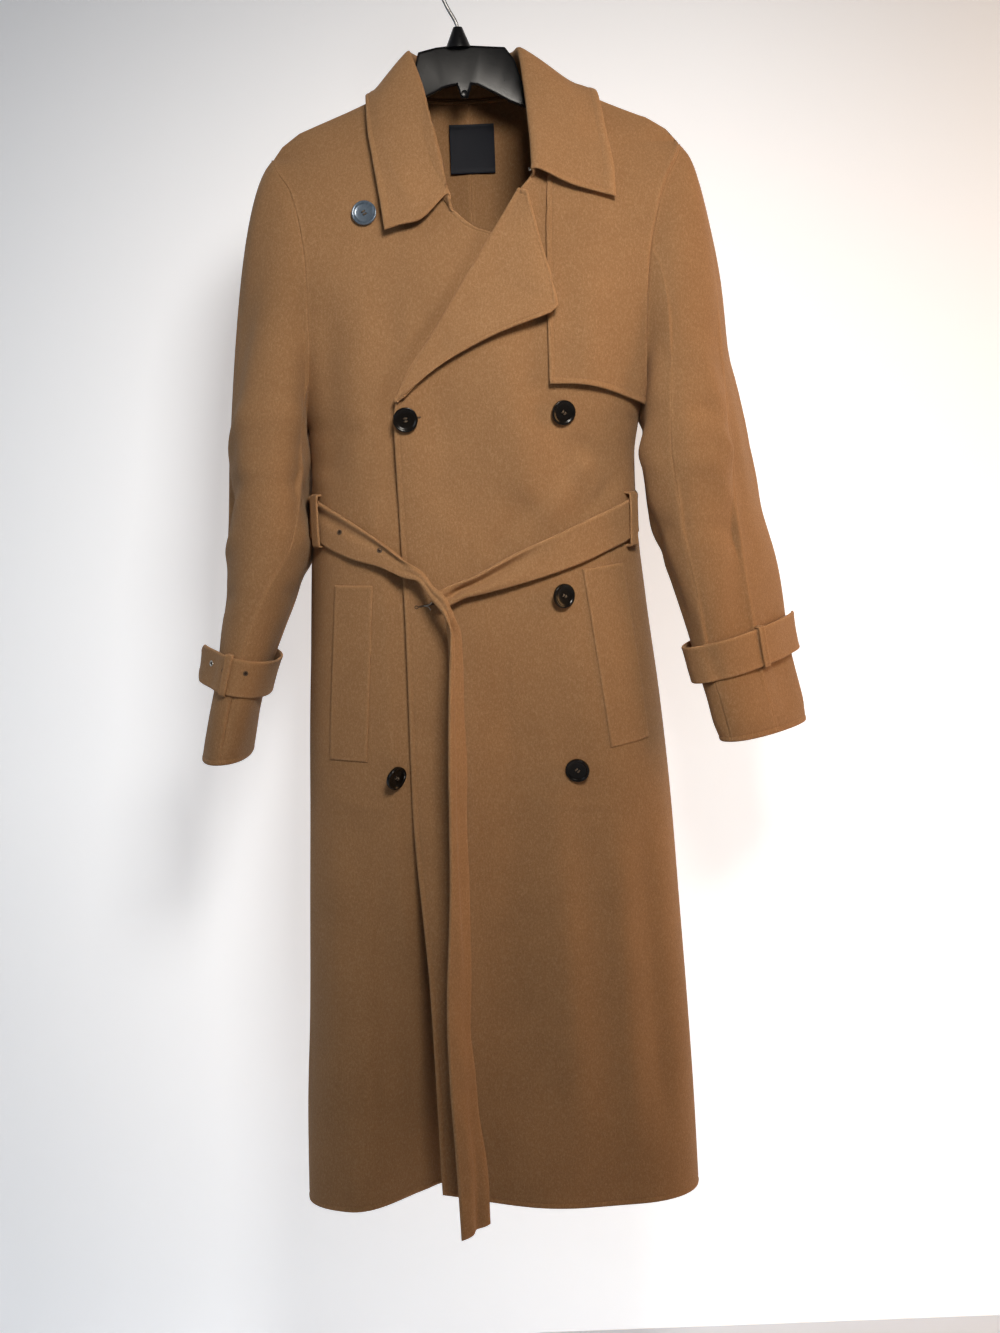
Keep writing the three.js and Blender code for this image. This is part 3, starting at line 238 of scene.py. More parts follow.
def edge_relief(kind, distance):
    """Height of the outer face near an edge: a full turned edge, then any stitch line."""
    if kind == "stitched":
        turned = 0.35 * np.exp(-(((distance - 3.0) / 2.0) ** 2))
        stitched = 0.3 * np.exp(-(((distance - 5.9) / 0.8) ** 2))
        return turned - stitched
    if kind == "turned":
        return 0.3 * np.exp(-(((distance - 2.2) / 2.2) ** 2))
    if kind == "seam":
        return 0.45 * np.exp(-((distance / 2.6) ** 2))
    return np.zeros_like(distance)


def cloth_sheet(name, place, edges, spacing, thick=CLOTH, relief=None, out=1):
    """A closed sheet of cloth. `place(u, v)` gives its outer face, u across and v up, and
    `relief(points, u, v)` the height of its folds. `edges` tells left, right, bottom, top."""
    left, right, bottom, top = edges
    fine = np.linspace(0, 1, 241)
    spine = place(np.full_like(fine, 0.5), fine)
    climb = np.concatenate([[0], np.cumsum(np.linalg.norm(np.diff(spine, axis=0), axis=1))])
    rows_along = spread(climb[-1], bottom, top, max(2, round(climb[-1] / spacing)))
    levels = np.interp(rows_along, climb, fine)
    u_fine, v_fine = np.meshgrid(np.linspace(0, 1, 121), levels)
    rough = place(u_fine, v_fine)
    walked = np.linalg.norm(np.diff(rough, axis=1), axis=2).cumsum(axis=1)
    walked = np.concatenate([np.zeros((len(levels), 1)), walked], axis=1)
    inner = max(2, round(walked[:, -1].max() / spacing))
    across = spread(walked[:, -1], left, right, inner)
    u = np.stack([np.interp(a, w, u_fine[0]) for a, w in zip(across, walked)])
    v = np.repeat(levels[:, None], u.shape[1], axis=1)
    points = place(u, v)

    def facing(grid):
        normal = np.cross(np.gradient(grid, axis=1), np.gradient(grid, axis=0)) * out
        return normal / np.maximum(np.linalg.norm(normal, axis=-1, keepdims=True), 1e-9)

    if relief is not None:
        points = points + facing(points) * relief(points, u, v)[..., None]
    normal = facing(points)
    from_left, from_right = across, walked[:, -1:] - across
    from_bottom = np.repeat(rows_along[:, None], u.shape[1], axis=1)
    from_top = climb[-1] - from_bottom
    near = np.minimum(np.minimum(from_left, from_right), np.minimum(from_bottom, from_top))
    rounding = np.zeros_like(near)
    for kind, distance in zip(edges, (from_left, from_right, from_bottom, from_top)):
        radius = SEAM_ROUNDING if kind == "seam" else thick / 2
        inward = np.clip(radius - distance, 0, radius)
        rounded = radius - np.sqrt(np.clip(radius**2 - inward**2, 0, None))
        rounding = np.maximum(rounding, rounded)
    border = [
        edge_relief(kind, distance)
        for kind, distance in zip(edges, (from_left, from_right, from_bottom, from_top))
    ]
    height = sum(border) * np.clip(near / 1.5, 0, 1)
    outer = points + normal * (height - rounding)[..., None]
    inner_face = points - normal * (thick + height * 0.6 - rounding)[..., None]
    rows, columns = near.shape
    number = np.arange(rows * columns).reshape(rows, columns)
    number_inside = number.copy()
    number_inside[1:-1, 1:-1] = rows * columns + np.arange((rows - 2) * (columns - 2)).reshape(
        rows - 2, columns - 2
    )
    rim = (outer + inner_face) / 2
    outer[0], outer[-1], outer[:, 0], outer[:, -1] = rim[0], rim[-1], rim[:, 0], rim[:, -1]
    corners = np.concatenate([outer.reshape(-1, 3), inner_face[1:-1, 1:-1].reshape(-1, 3)]) / 1000

    def quads(grid):
        return np.stack([grid[:-1, :-1], grid[:-1, 1:], grid[1:, 1:], grid[1:, :-1]], -1).reshape(-1, 4)

    outside, inside = quads(number), quads(number_inside)[:, ::-1]
    faces = np.concatenate([outside, inside])
    if out < 0:
        faces = faces[:, ::-1]
    mesh = bpy.data.meshes.new(name)
    mesh.from_pydata(corners, [], faces)
    lengths = np.stack([across, from_bottom], axis=-1).reshape(-1, 2) / 1000
    flat_number = np.arange(rows * columns).reshape(rows, columns)
    flat_faces = np.concatenate([quads(flat_number), quads(flat_number)[:, ::-1]])
    if out < 0:
        flat_faces = flat_faces[:, ::-1]
    layout = mesh.uv_layers.new(name="cloth")
    layout.data.foreach_set("uv", lengths[flat_faces.reshape(-1)].reshape(-1))
    edge = mesh.attributes.new("edge", "FLOAT", "POINT")
    edge_values = np.concatenate([near.reshape(-1), near[1:-1, 1:-1].reshape(-1)]) / 1000
    edge.data.foreach_set("value", edge_values)
    mesh.shade_smooth()
    mesh.validate()
    piece = bpy.data.objects.new(name, mesh)
    bpy.context.scene.collection.objects.link(piece)
    return piece


def fold(a, b, start, end, width, height, fade=0.25, bow=0.0):
    """A soft ridge (or trough) along a line in two coordinates, dying away at its ends."""
    run = np.array(end, float) - np.array(start, float)
    length = np.hypot(*run)
    along = ((a - start[0]) * run[0] + (b - start[1]) * run[1]) / length**2
    aside = ((a - start[0]) * run[1] - (b - start[1]) * run[0]) / length
    aside = aside - bow * np.sin(math.pi * np.clip(along, 0, 1))
    ends = ease(along / fade) * ease((1 - along) / fade)
    return height * np.exp(-((aside / width) ** 2)) * ends


def unevenness(a, b, seed, size, height):
    """Slow, uneven swells that no length of hung cloth is without."""
    draw = np.random.default_rng(seed)
    total = np.zeros_like(a)
    for _ in range(7):
        turn = draw.uniform(0, math.tau)
        wave = size * draw.uniform(0.7, 1.9)
        phase = draw.uniform(0, math.tau)
        along = a * math.cos(turn) + b * math.sin(turn) * 0.55
        total = total + np.sin(along * math.tau / wave + phase)
    return total * height / 2.6


def node(tree, kind, values=None, **settings):
    made = tree.nodes.new(kind)
    for key, value in settings.items():
        setattr(made, key, value)
    for key, value in (values or {}).items():
        if isinstance(value, bpy.types.NodeSocket):
            tree.links.new(value, made.inputs[key])
        else:
            made.inputs[key].default_value = value
    return made


def felted_wool_group():
    """Felted nap: mottled colour from light and dark fibres, and the height of the felt."""
    group = bpy.data.node_groups.new("felted wool", "ShaderNodeTree")
    sockets = (
        ("Colour", "INPUT", "NodeSocketColor"),
        ("Light fibres", "INPUT", "NodeSocketColor"),
        ("Dark fibres", "INPUT", "NodeSocketColor"),
        ("Fibre size", "INPUT", "NodeSocketFloat"),
        ("Colour", "OUTPUT", "NodeSocketColor"),
        ("Roughness", "OUTPUT", "NodeSocketFloat"),
        ("Height", "OUTPUT", "NodeSocketFloat"),
    )
    for label, side, kind in sockets:
        group.interface.new_socket(label, in_out=side, socket_type=kind)
    enter = node(group, "NodeGroupInput")
    leave = node(group, "NodeGroupOutput")
    where = node(group, "ShaderNodeTexCoord").outputs["Object"]
    lay = node(group, "ShaderNodeMapping", {"Vector": where, "Scale": (1.0, 1.0, 0.55)}).outputs[0]
    fibre = node(group, "ShaderNodeTexNoise", {"Vector": lay, "Detail": 4.0, "Roughness": 0.7})
    group.links.new(enter.outputs["Fibre size"], fibre.inputs["Scale"])
    tuft = node(
        group, "ShaderNodeTexNoise", {"Vector": lay, "Scale": 620.0, "Detail": 5.0, "Roughness": 0.66}
    )
    cloud = node(
        group, "ShaderNodeTexNoise", {"Vector": where, "Scale": 13.0, "Detail": 6.0, "Roughness": 0.62}
    )
    lights = node(
        group, "ShaderNodeMapRange", {"Value": tuft.outputs[0], 1: 0.46, 2: 0.72, 3: 0.0, 4: 0.75}
    )
    lighter = node(
        group, "ShaderNodeMix",
        {0: lights.outputs[0], 6: enter.outputs["Colour"], 7: enter.outputs["Light fibres"]},
        data_type="RGBA",
    )
    darks = node(
        group, "ShaderNodeMapRange", {"Value": fibre.outputs[0], 1: 0.54, 2: 0.26, 3: 0.0, 4: 0.8}
    )
    darker = node(
        group, "ShaderNodeMix",
        {0: darks.outputs[0], 6: lighter.outputs[2], 7: enter.outputs["Dark fibres"]},
        data_type="RGBA",
    )
    patch = node(
        group, "ShaderNodeMapRange", {"Value": cloud.outputs[0], 1: 0.3, 2: 0.7, 3: 0.93, 4: 1.05}
    )
    clouded = node(group, "ShaderNodeVectorMath", {0: darker.outputs[2]}, operation="SCALE")
    group.links.new(patch.outputs[0], clouded.inputs["Scale"])
    group.links.new(clouded.outputs[0], leave.inputs["Colour"])
    rough = node(
        group, "ShaderNodeMapRange", {"Value": tuft.outputs[0], 1: 0.3, 2: 0.7, 3: 0.98, 4: 0.82}
    )
    group.links.new(rough.outputs[0], leave.inputs["Roughness"])
    coarse = node(group, "ShaderNodeMath", {0: tuft.outputs[0], 1: 0.9}, operation="MULTIPLY")
    height = node(group, "ShaderNodeMath", {0: fibre.outputs[0], 1: coarse.outputs[0]}, operation="ADD")
    group.links.new(height.outputs[0], leave.inputs["Height"])
    return group


FELTED_WOOL = felted_wool_group()


def new_material(name):
    material = bpy.data.materials.new(name)
    material.use_nodes = True
    return material, material.node_tree, material.node_tree.nodes["Principled BSDF"]


def add_bump(tree, shader, height, strength, distance):
    bump = node(tree, "ShaderNodeBump", {"Height": height, "Strength": strength, "Distance": distance})
    tree.links.new(bump.outputs[0], shader.inputs["Normal"])


def wool_material(name, tone=1.0):
    """Camel wool; `tone` makes a lighter or darker copy of it for one piece, a painted shade or highlight
    for how much light falls on that piece.
    """
    material, tree, shader = new_material(name)
    felt = node(tree, "ShaderNodeGroup", node_tree=FELTED_WOOL)
    felt.inputs["Colour"].default_value = (0.300 * tone, 0.160 * tone, 0.072 * tone, 1)
    felt.inputs["Light fibres"].default_value = (0.420 * tone, 0.245 * tone, 0.125 * tone, 1)
    felt.inputs["Dark fibres"].default_value = (0.170 * tone, 0.084 * tone, 0.034 * tone, 1)
    felt.inputs["Fibre size"].default_value = 2300.0
    # Painted up to 16% lighter within 4.5 mm of an edge: partly wear of the edges, partly a painted
    # highlight where the turned edges catch the light.
    near = node(tree, "ShaderNodeAttribute", attribute_name="edge")
    worn_and_lit_edges = node(
        tree, "ShaderNodeMapRange", {"Value": near.outputs["Fac"], 1: 0.0, 2: 0.0045, 3: 1.16, 4: 1.0}
    )
    edged = node(tree, "ShaderNodeVectorMath", {0: felt.outputs["Colour"]}, operation="SCALE")
    tree.links.new(worn_and_lit_edges.outputs[0], edged.inputs["Scale"])
    tree.links.new(edged.outputs[0], shader.inputs["Base Color"])
    tree.links.new(felt.outputs["Roughness"], shader.inputs["Roughness"])
    add_bump(tree, shader, felt.outputs["Height"], 0.6, 0.0006)
    shader.inputs["Sheen Weight"].default_value = 0.12
    shader.inputs["Sheen Roughness"].default_value = 0.45
    shader.inputs["Sheen Tint"].default_value = (1.0, 0.83, 0.62, 1)
    shader.inputs["Specular IOR Level"].default_value = 0.18
    return material


WOOL_BODY = wool_material("camel wool, body")


def finish_cloth(piece, material, nodes, flat, area, rests_on, held="hung"):
    """Gives a sheet its wool, hangs it from the root and hides the imported parts it replaces; its cut,
    width and length, and area, in metres, are not used.
    """
    piece.data.materials.append(material)
    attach(piece, "root")
    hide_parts(*nodes)


def left_front_place(u, v):
    at = v * (len(LEFT_FRONT_ROWS["side"]) - 1)
    inner_z = row_look(LEFT_FRONT_ROWS, "inner", at)
    side_z = row_look(LEFT_FRONT_ROWS, "side", at)
    inner_x = smooth_look(OVER_EDGE["z"], OVER_EDGE["x"], inner_z)
    side_x = smooth_look(BODY["z"], BODY["right"], side_z)
    x = lerp(inner_x, side_x, np.sin(u * math.pi / 2))
    dip = row_look(LEFT_FRONT_ROWS, "dip", at)
    curve = row_look(LEFT_FRONT_ROWS, "curve", at)
    z = level_on_row(inner_z, side_z, dip, curve, inner_x, NECK_RIGHT, side_x, x, ridge)
    return on_body(x, np.minimum(z, ridge(x)), -1)


def left_front_folds(points, u, v):
    x, z = points[..., 0], points[..., 2]
    away = ease(u / 0.08) * ease((1 - u) / 0.12)
    swell = unevenness(x, z, 3, 150, 1.8)
    pulled = (
        fold(x, z, (60, -600), (128, -520), 10, 3.0) + fold(x, z, (10, -628), (60, -560), 12, -2.4)
        + fold(x, z, (96, -596), (150, -548), 9, -2.4) + fold(x, z, (-30, -620), (-20, -500), 15, 1.8)
    )
    hung = (
        fold(x, z, (-20, -700), (-36, -1240), 17, 3.2, 0.3)
        + fold(x, z, (30, -690), (22, -1180), 22, -3.4, 0.35)
        + fold(x, z, (70, -760), (84, -1290), 17, 2.4, 0.3)
        + fold(x, z, (95, -880), (120, -1300), 18, -2.0, 0.3)
        + fold(x, z, (132, -860), (150, -1300), 14, 3.0, 0.3)
        + fold(x, z, (158, -860), (184, -1290), 13, -3.2, 0.3)
    )
    bag = (
        fold(x, z, (38, -868), (150, -884), 3.4, 0.7, 0.2, 7)
        + fold(x, z, (32, -700), (38, -866), 3.0, 0.5)
    )
    chest = (
        fold(x, z, (30, -400), (60, -590), 20, 2.6) + fold(x, z, (95, -500), (160, -560), 12, -2.6)
        + fold(x, z, (66, -430), (112, -590), 14, -2.6) + fold(x, z, (-30, -440), (-24, -600), 16, -2.0)
    )
    return (swell + pulled + hung + bag + chest) * away


front_left = cloth_sheet(
    "front_left_cloth", left_front_place, ("stitched", "seam", "stitched", "seam"), 4.6,
    relief=left_front_folds,
)
finish_cloth(front_left, WOOL_BODY, ["front_left"], (0.36, 1.17), 0.34, ["hanger_body"])


# ------------------------------------------------------------------ right front
# The front that lies under the other one. Its lapel stays unturned, so its top edge
# runs across the chest, and in the skirt it has fallen back behind the left front.

RECESS_TOP, RECESS_START, RECESS_END, RECESS_LEFT = -845, -165, -63, 12
TUCK_DEPTH, TUCK_RUN = 6, 22
RIGHT_FRONT_ROWS = table(
    "side inner_x inner curve",
    (-1326, 92, -1302, 0), (-1215, 92, -1206, 0), (-1100, 92, -1098, 0), (-985, 92, -985, 0),
    (-870, 92, -870, 0), (-770, 92, -770, 0), (-682, 92, -680, 0), (-620, 92, -615, 0),
    (-580, 92, -575, 0), (-535, 92, -525, 0), (-490, 92, -475, 0), (-479, 92, -440, 0),
    (-450, 92, -385, 0), (-400, 92, -330, 0), (-370, 88, -303, 0), (-348, 50, -303, 0),
    (-328, 18, -297, 0), (-308, -8, -281, 0.1), (-278, -32, -242, 0.3), (-248, -52, -196, 0.65),
    (-226, -63, -166, 0.9), (-215, -66, -150, 1),
)


def under_depth(x, z, face=-1):
    plain = body_depth(x, z, -1)
    edge_x = smooth_look(OVER_EDGE["z"], OVER_EDGE["x"], z)
    covered = ease((x - edge_x + TUCK_RUN) / TUCK_RUN)
    down = ease((RECESS_TOP - z) / (RECESS_TOP - BODY["z"][0]))
    across = ease((x - RECESS_START) / (RECESS_END - RECESS_START))
    return plain - TUCK_DEPTH * covered - np.maximum(0, plain - RECESS_LEFT) * down * across


def right_front_place(u, v):
    at = v * (len(RIGHT_FRONT_ROWS["side"]) - 1)
    inner_z = row_look(RIGHT_FRONT_ROWS, "inner", at)
    inner_x = row_look(RIGHT_FRONT_ROWS, "inner_x", at)
    side_z = row_look(RIGHT_FRONT_ROWS, "side", at)
    side_x = smooth_look(BODY["z"], BODY["left"], side_z)
    x = lerp(inner_x, side_x, np.sin((1 - u) * math.pi / 2))
    curve = row_look(RIGHT_FRONT_ROWS, "curve", at)
    z = level_on_row(inner_z, side_z, 0, curve, inner_x, NECK_LEFT, side_x, x, ridge)
    return on_body(x, np.minimum(z, ridge(x)), -1, 0, under_depth)


def right_front_folds(points, u, v):
    x, z = points[..., 0], points[..., 2]
    open_cloth = ease(u / 0.1) * ease((-82 - x) / 30 + 1)
    swell = unevenness(x, z, 8, 140, 1.7)
    hung = (
        fold(x, z, (-152, -850), (-185, -1290), 15, 2.6, 0.3)
        + fold(x, z, (-112, -905), (-126, -1290), 11, -3.0, 0.3)
        + fold(x, z, (-88, -930), (-84, -1280), 9, 2.2, 0.3)
    )
    waist = (
        fold(x, z, (-160, -540), (-110, -480), 12, -2.4)
        + fold(x, z, (-118, -640), (-98, -560), 9, 1.6)
    )
    chest = (
        fold(x, z, (-66, -320), (-92, -600), 15, -3.4, 0.3)
        + fold(x, z, (-104, -300), (-122, -590), 15, 2.6, 0.3)
        + fold(x, z, (-140, -330), (-146, -560), 12, -2.4, 0.3)
    )
    bag = fold(x, z, (-168, -866), (-98, -878), 3.4, 0.7, 0.2, 6)
    return (swell + hung + waist + chest + bag) * open_cloth


front_right = cloth_sheet(
    "front_right_cloth", right_front_place, ("seam", "stitched", "stitched", "seam"), 4.8,
    relief=right_front_folds,
)
finish_cloth(front_right, WOOL_BODY, ["front_right"], (0.36, 1.17), 0.34, ["hanger_body"])


# ------------------------------------------------------------------ back
# Two halves of the same wool, joined down the centre back. The neck edge takes the
# collar, and the hem is turned in and stitched as the fronts' is.

BACK_ROWS = table(
    "inner side curve",
    (-1320, -1326, 0), (-1212, -1215, 0), (-1100, -1100, 0), (-985, -985, 0), (-870, -870, 0),
    (-770, -770, 0), (-682, -682, 0), (-620, -620, 0), (-580, -580, 0), (-535, -535, 0),
    (-480, -490, 0), (-452, -479, 0), (-412, -450, 0), (-352, -400, 0), (-290, -345, 0.1),
    (-236, -292, 0.3), (-197, -252, 0.65), (-168, -226, 0.9), (-155, -215, 1),
)


def back_top(x):
    at_neck = lerp(BACK_NECK_Z, NECK_Z, ((x - NECK_MID) / NECK_HALF) ** 2)
    return np.where((x > NECK_LEFT) & (x < NECK_RIGHT), at_neck, ridge(x))


def back_place(wearer_left):
    def place(u, v):
        at = v * (len(BACK_ROWS["side"]) - 1)
        inner_z = row_look(BACK_ROWS, "inner", at)
        side_z = row_look(BACK_ROWS, "side", at)
        side_x = smooth_look(BODY["z"], BODY["right" if wearer_left else "left"], side_z)
        seam_x = NECK_MID + (-HALF_GAP if wearer_left else HALF_GAP)
        t = 1 - u if wearer_left else u
        x = lerp(seam_x, side_x, np.sin(t * math.pi / 2))
        curve = row_look(BACK_ROWS, "curve", at)
        z = level_on_row(inner_z, side_z, 0, curve, seam_x, seam_x, side_x, x, back_top)
        return on_body(x, np.minimum(z, back_top(x)), 1)

    return place


def back_folds(wearer_left):
    sign = 1 if wearer_left else -1

    def relief(points, u, v):
        x, z = points[..., 0] - NECK_MID, points[..., 2]
        away = ease((1 - u if wearer_left else u) / 0.06) * ease((u if wearer_left else 1 - u) / 0.1)
        swell = unevenness(x, z, 21 + sign, 160, 1.5)
        blade = fold(x, z, (sign * 95, -300), (sign * 60, -540), 24, 2.4)
        gathered = (
            fold(x, z, (sign * 34, -520), (sign * 30, -680), 12, 2.6)
            + fold(x, z, (sign * 74, -510), (sign * 84, -700), 13, -2.2)
            + fold(x, z, (sign * 112, -530), (sign * 124, -720), 12, 2.0)
        )
        hung = (
            fold(x, z, (sign * 40, -690), (sign * 62, -1300), 20, 3.0, 0.3)
            + fold(x, z, (sign * 96, -700), (sign * 130, -1290), 19, -2.8, 0.3)
            + fold(x, z, (sign * 148, -820), (sign * 180, -1290), 15, 2.2, 0.3)
        )
        return (swell + blade + gathered + hung) * away

    return relief


back_left = cloth_sheet(
    "back_left_cloth", back_place(True), ("seam", "seam", "stitched", "seam"), 5.6,
    relief=back_folds(True),
)
finish_cloth(back_left, WOOL_BODY, ["back_left"], (0.28, 1.17), 0.28, ["hanger_body"])
back_right = cloth_sheet(
    "back_right_cloth", back_place(False), ("seam", "seam", "stitched", "seam"), 5.6,
    relief=back_folds(False),
)
finish_cloth(back_right, WOOL_BODY, ["back_right"], (0.28, 1.17), 0.28, ["hanger_body"])


# ------------------------------------------------------------------ sleeves
# Two-piece sleeves, each a front and a back cut joined along the overarm and down the
# front of the forearm, set into the armholes and hanging empty and flattened.

RIGHT_SLEEVE = table(
    "z x y major minor turn lean seam",
    (-528, -211.5, 4, 73, 43, 0, 0.05, 146),
    (-600, -216, 4, 71, 44, 0, 0.06, 126),
    (-655, -227, 3, 69, 37, 0, 0.06, 100),
    (-700, -241, 2, 68, 31.5, 0, 0.05, 92),
    (-745, -253, 1, 67, 27, 0, 0.04, 90),
    (-790, -265, 0, 67, 26, 0, 0.02, 90),
    (-828, -274, 0, 67, 25.5, 0, 0, 90),
)
LEFT_SLEEVE = table(
    "z x y major minor turn lean seam",
    (-528, 232, 2, 76, 46, 30, 0.1, 82),
    (-590, 241, 2, 76, 45.5, 38, 0.12, 72),
    (-650, 258, 0, 74, 37, 42, 0.14, 72),
    (-700, 268, -2, 71, 33, 43, 0.14, 74),
    (-740, 276, -3, 70, 29, 43, 0.13, 76),
    (-781, 287, -4, 70, 26, 42, 0.1, 78),
    (-823, 297, -5, 70, 25, 42, 0.05, 78),
)
OVERARM_SEAM = 8
SEAM_TURN = -0.25              # half of a sleeve seam's gap, as an angle
CAP_SHARE = 0.5                # share of a sleeve's grid that is its cap
ARMHOLE_GAP = -0.5


def armhole_point(angle, side):
    turn = np.radians(angle)
    middle = (TIP_Z + UNDERARM_Z) / 2
    z = middle + ((TIP_Z - UNDERARM_Z) / 2) * np.cos(turn)
    x = smooth_look(BODY["z"], BODY["left" if side < 0 else "right"], z)
    front, back = on_body(x, z, -1), on_body(x, z, 1)
    points = np.where((np.sin(turn) < 0)[..., None], back, front)
    points[..., 0] += side * ARMHOLE_GAP
    return points


def ring_point(rows, angle, at, side, out=0.0):
    turn = np.radians(angle)
    across = np.sign(np.cos(turn)) * np.abs(np.cos(turn)) ** 0.9
    forward = np.sign(np.sin(turn)) * np.abs(np.sin(turn)) ** 0.9
    across = across * (row_look(rows, "minor", at) + out)
    forward = forward * (row_look(rows, "major", at) + out)
    twist = np.radians(row_look(rows, "turn", at))
    outward = across * np.cos(twist) - forward * np.sin(twist)
    front = forward * np.cos(twist) + across * np.sin(twist)
    z = row_look(rows, "z", at) + row_look(rows, "lean", at) * outward
    return np.stack([row_look(rows, "x", at) + side * outward, row_look(rows, "y", at) - front, z], -1)


def cap_point(rows, angle, t, side):
    start = armhole_point(angle, side)
    end = ring_point(rows, angle, np.zeros_like(t), side)
    length = np.linalg.norm(end - start, axis=-1)[..., None]
    turn = np.radians(angle)
    over = (1 + np.cos(turn)) / 2
    leave = np.stack([side * lerp(0.35, 0.85, over), -0.3 * np.sin(turn), -lerp(1, 0.5, over)], -1)
    leave /= np.linalg.norm(leave, axis=-1, keepdims=True)
    first = start + leave * length * lerp(0.3, 0.13, over)[..., None]
    arrive = np.stack([np.full_like(turn, -side * 0.1), 0.04 * np.sin(turn), np.ones_like(turn)], -1)
    arrive /= np.linalg.norm(arrive, axis=-1, keepdims=True)
    second = end + arrive * length * 0.3
    t = t[..., None]
    return (
        start * (1 - t) ** 3 + first * 3 * t * (1 - t) ** 2 + second * 3 * t * t * (1 - t) + end * t**3
    )


def sleeve_place(rows, side, is_front, armhole_seam):
    last = len(rows["z"]) - 1

    def place(u, v):
        in_cap = v > 1 - CAP_SHARE
        at = np.where(in_cap, 0, last * (1 - v / (1 - CAP_SHARE)))
        cap = np.clip((1 - v) / CAP_SHARE, 0, 1)
        low_seam = row_look(rows, "seam", at)
        seam = np.where(in_cap, lerp(armhole_seam, low_seam, cap), low_seam)
        start = OVERARM_SEAM + SEAM_TURN if is_front else seam + SEAM_TURN
        stop = seam - SEAM_TURN if is_front else OVERARM_SEAM + 360 - SEAM_TURN
        angle = lerp(start, stop, u if side < 0 else 1 - u)
        low = ring_point(rows, angle, at, side)
        return np.where(in_cap[..., None], cap_point(rows, angle, cap, side), low)

    return place


def off_seams(u, v):
    """Share of a fold that is left near a sleeve cut's edges."""
    return ease(u / 0.06) * ease((1 - u) / 0.06) * ease(v / 0.05) * ease((1 - v) / 0.05)


def right_sleeve_folds(points, u, v):
    y, z = points[..., 1], points[..., 2]
    swell = unevenness(y, z, 31, 95, 2.0)
    elbow = (
        fold(y, z, (-70, -455), (10, -535), 13, 3.8)
        + fold(y, z, (-72, -530), (24, -585), 12, -4.0)
        + fold(y, z, (-62, -585), (40, -640), 12, 3.4)
        + fold(y, z, (-60, -650), (20, -676), 10, -2.2)
    )
    hung = fold(y, z, (-30, -330), (-46, -560), 15, -3.6) + fold(y, z, (20, -620), (8, -800), 13, -2.6)
    return (swell + elbow + hung) * off_seams(u, v)


def left_sleeve_folds(points, u, v):
    y, z = points[..., 1], points[..., 2]
    swell = unevenness(y, z, 37, 95, 2.2)
    creased = (
        fold(y, z, (-58, -400), (-36, -560), 12, 4.6)
        + fold(y, z, (-30, -520), (-50, -740), 10, -4.4)
        + fold(y, z, (-64, -470), (-20, -520), 11, -4.0)
        + fold(y, z, (-66, -520), (-30, -590), 11, 3.6)
        + fold(y, z, (-66, -590), (-10, -640), 11, -2.8)
        + fold(y, z, (10, -420), (40, -600), 15, 3.2)
    )
    return (swell + creased) * off_seams(u, v)


# Painted shade: this copy of the wool is 3% darker than the body's.
WOOL_SLEEVE = wool_material("camel wool, sleeves", 0.97)
SLEEVE_CUTS = {                # flat width and length, and flat area, in metres
    "sleeve_right_front": ((0.15, 0.6), 0.055), "sleeve_right_back": ((0.3, 0.6), 0.118),
    "sleeve_left_front": ((0.12, 0.6), 0.045), "sleeve_left_back": ((0.36, 0.6), 0.145),
}
for label, rows, side, armhole_seam, folds in (
    ("right", RIGHT_SLEEVE, -1, 128, right_sleeve_folds),
    ("left", LEFT_SLEEVE, 1, 76, left_sleeve_folds),
):
    for part, is_front in (("front", True), ("back", False)):
        cut = f"sleeve_{label}_{part}"
        piece = cloth_sheet(
            f"{cut}_cloth", sleeve_place(rows, side, is_front, armhole_seam),
            ("seam", "seam", "stitched", "seam"), 4.6, relief=folds,
        )
        finish_cloth(piece, WOOL_SLEEVE, [cut], *SLEEVE_CUTS[cut], [f"front_{label}", f"back_{label}"])


# ------------------------------------------------------------------ collar
# A wide turned collar in one piece with its stand: it rises from the neck seam, folds
# over, and falls on the shoulders, with square ends and stitched edges.

COLLAR_THICK = 2.6
COLLAR = table(
    "seam_x seam_z fold_x fold_y fold_z edge_x edge_z lift",
    (-9, -279, -14, -72, -261, -77, -297, 8),
    (-32, -242, -20, -62, -230, -82, -262, 7),
    (-49, -206, -26, -53, -192, -88, -224, 6.5),
    (-61, -174, -34, -35, -152, -92, -192, 8),
    (-66, -150, -48, -8, -113, -93, -160.6, 7),
    (-52, -151, -40, 20, -113, -76, -180, 7),
    (-22, -154, -18, 38, -113, -36, -190, 6),
    (9, -155, 9, 43, -114, 14, -192, 6),
    (40, -154, 35, 38, -113, 66, -192, 6),
    (68, -151, 55, 18, -114, 112, -187, 8),
    (82, -150, 60, -8, -114, 135, -166.4, 11),
    (84, -180, 66, -32, -157, 143, -200, 12),
    (80, -215, 70, -52, -200, 149, -238, 12),
    (68, -248, 73, -68, -240, 151, -272, 12),
)
RIGHT_SHOULDER_STATION, LEFT_SHOULDER_STATION = 4, 10


def through(points, t):
    """A smooth line through points, which are stacked along the first axis."""
    points = np.concatenate([2 * points[:1] - points[1:2], points, 2 * points[-1:] - points[-2:-1]])
    at = np.clip(t, 0, 1) * (len(points) - 3)
    i = np.clip(np.floor(at).astype(int), 0, len(points) - 4)
    f = (at - i)[..., None]
    columns = np.arange(points.shape[1]).reshape(t.shape)
    a, b, c, d = (points[i + k, columns] for k in range(4))
    return b + 0.5 * f * (c - a + f * (2 * a - 5 * b + 4 * c - d + f * (3 * (b - c) + d - a)))


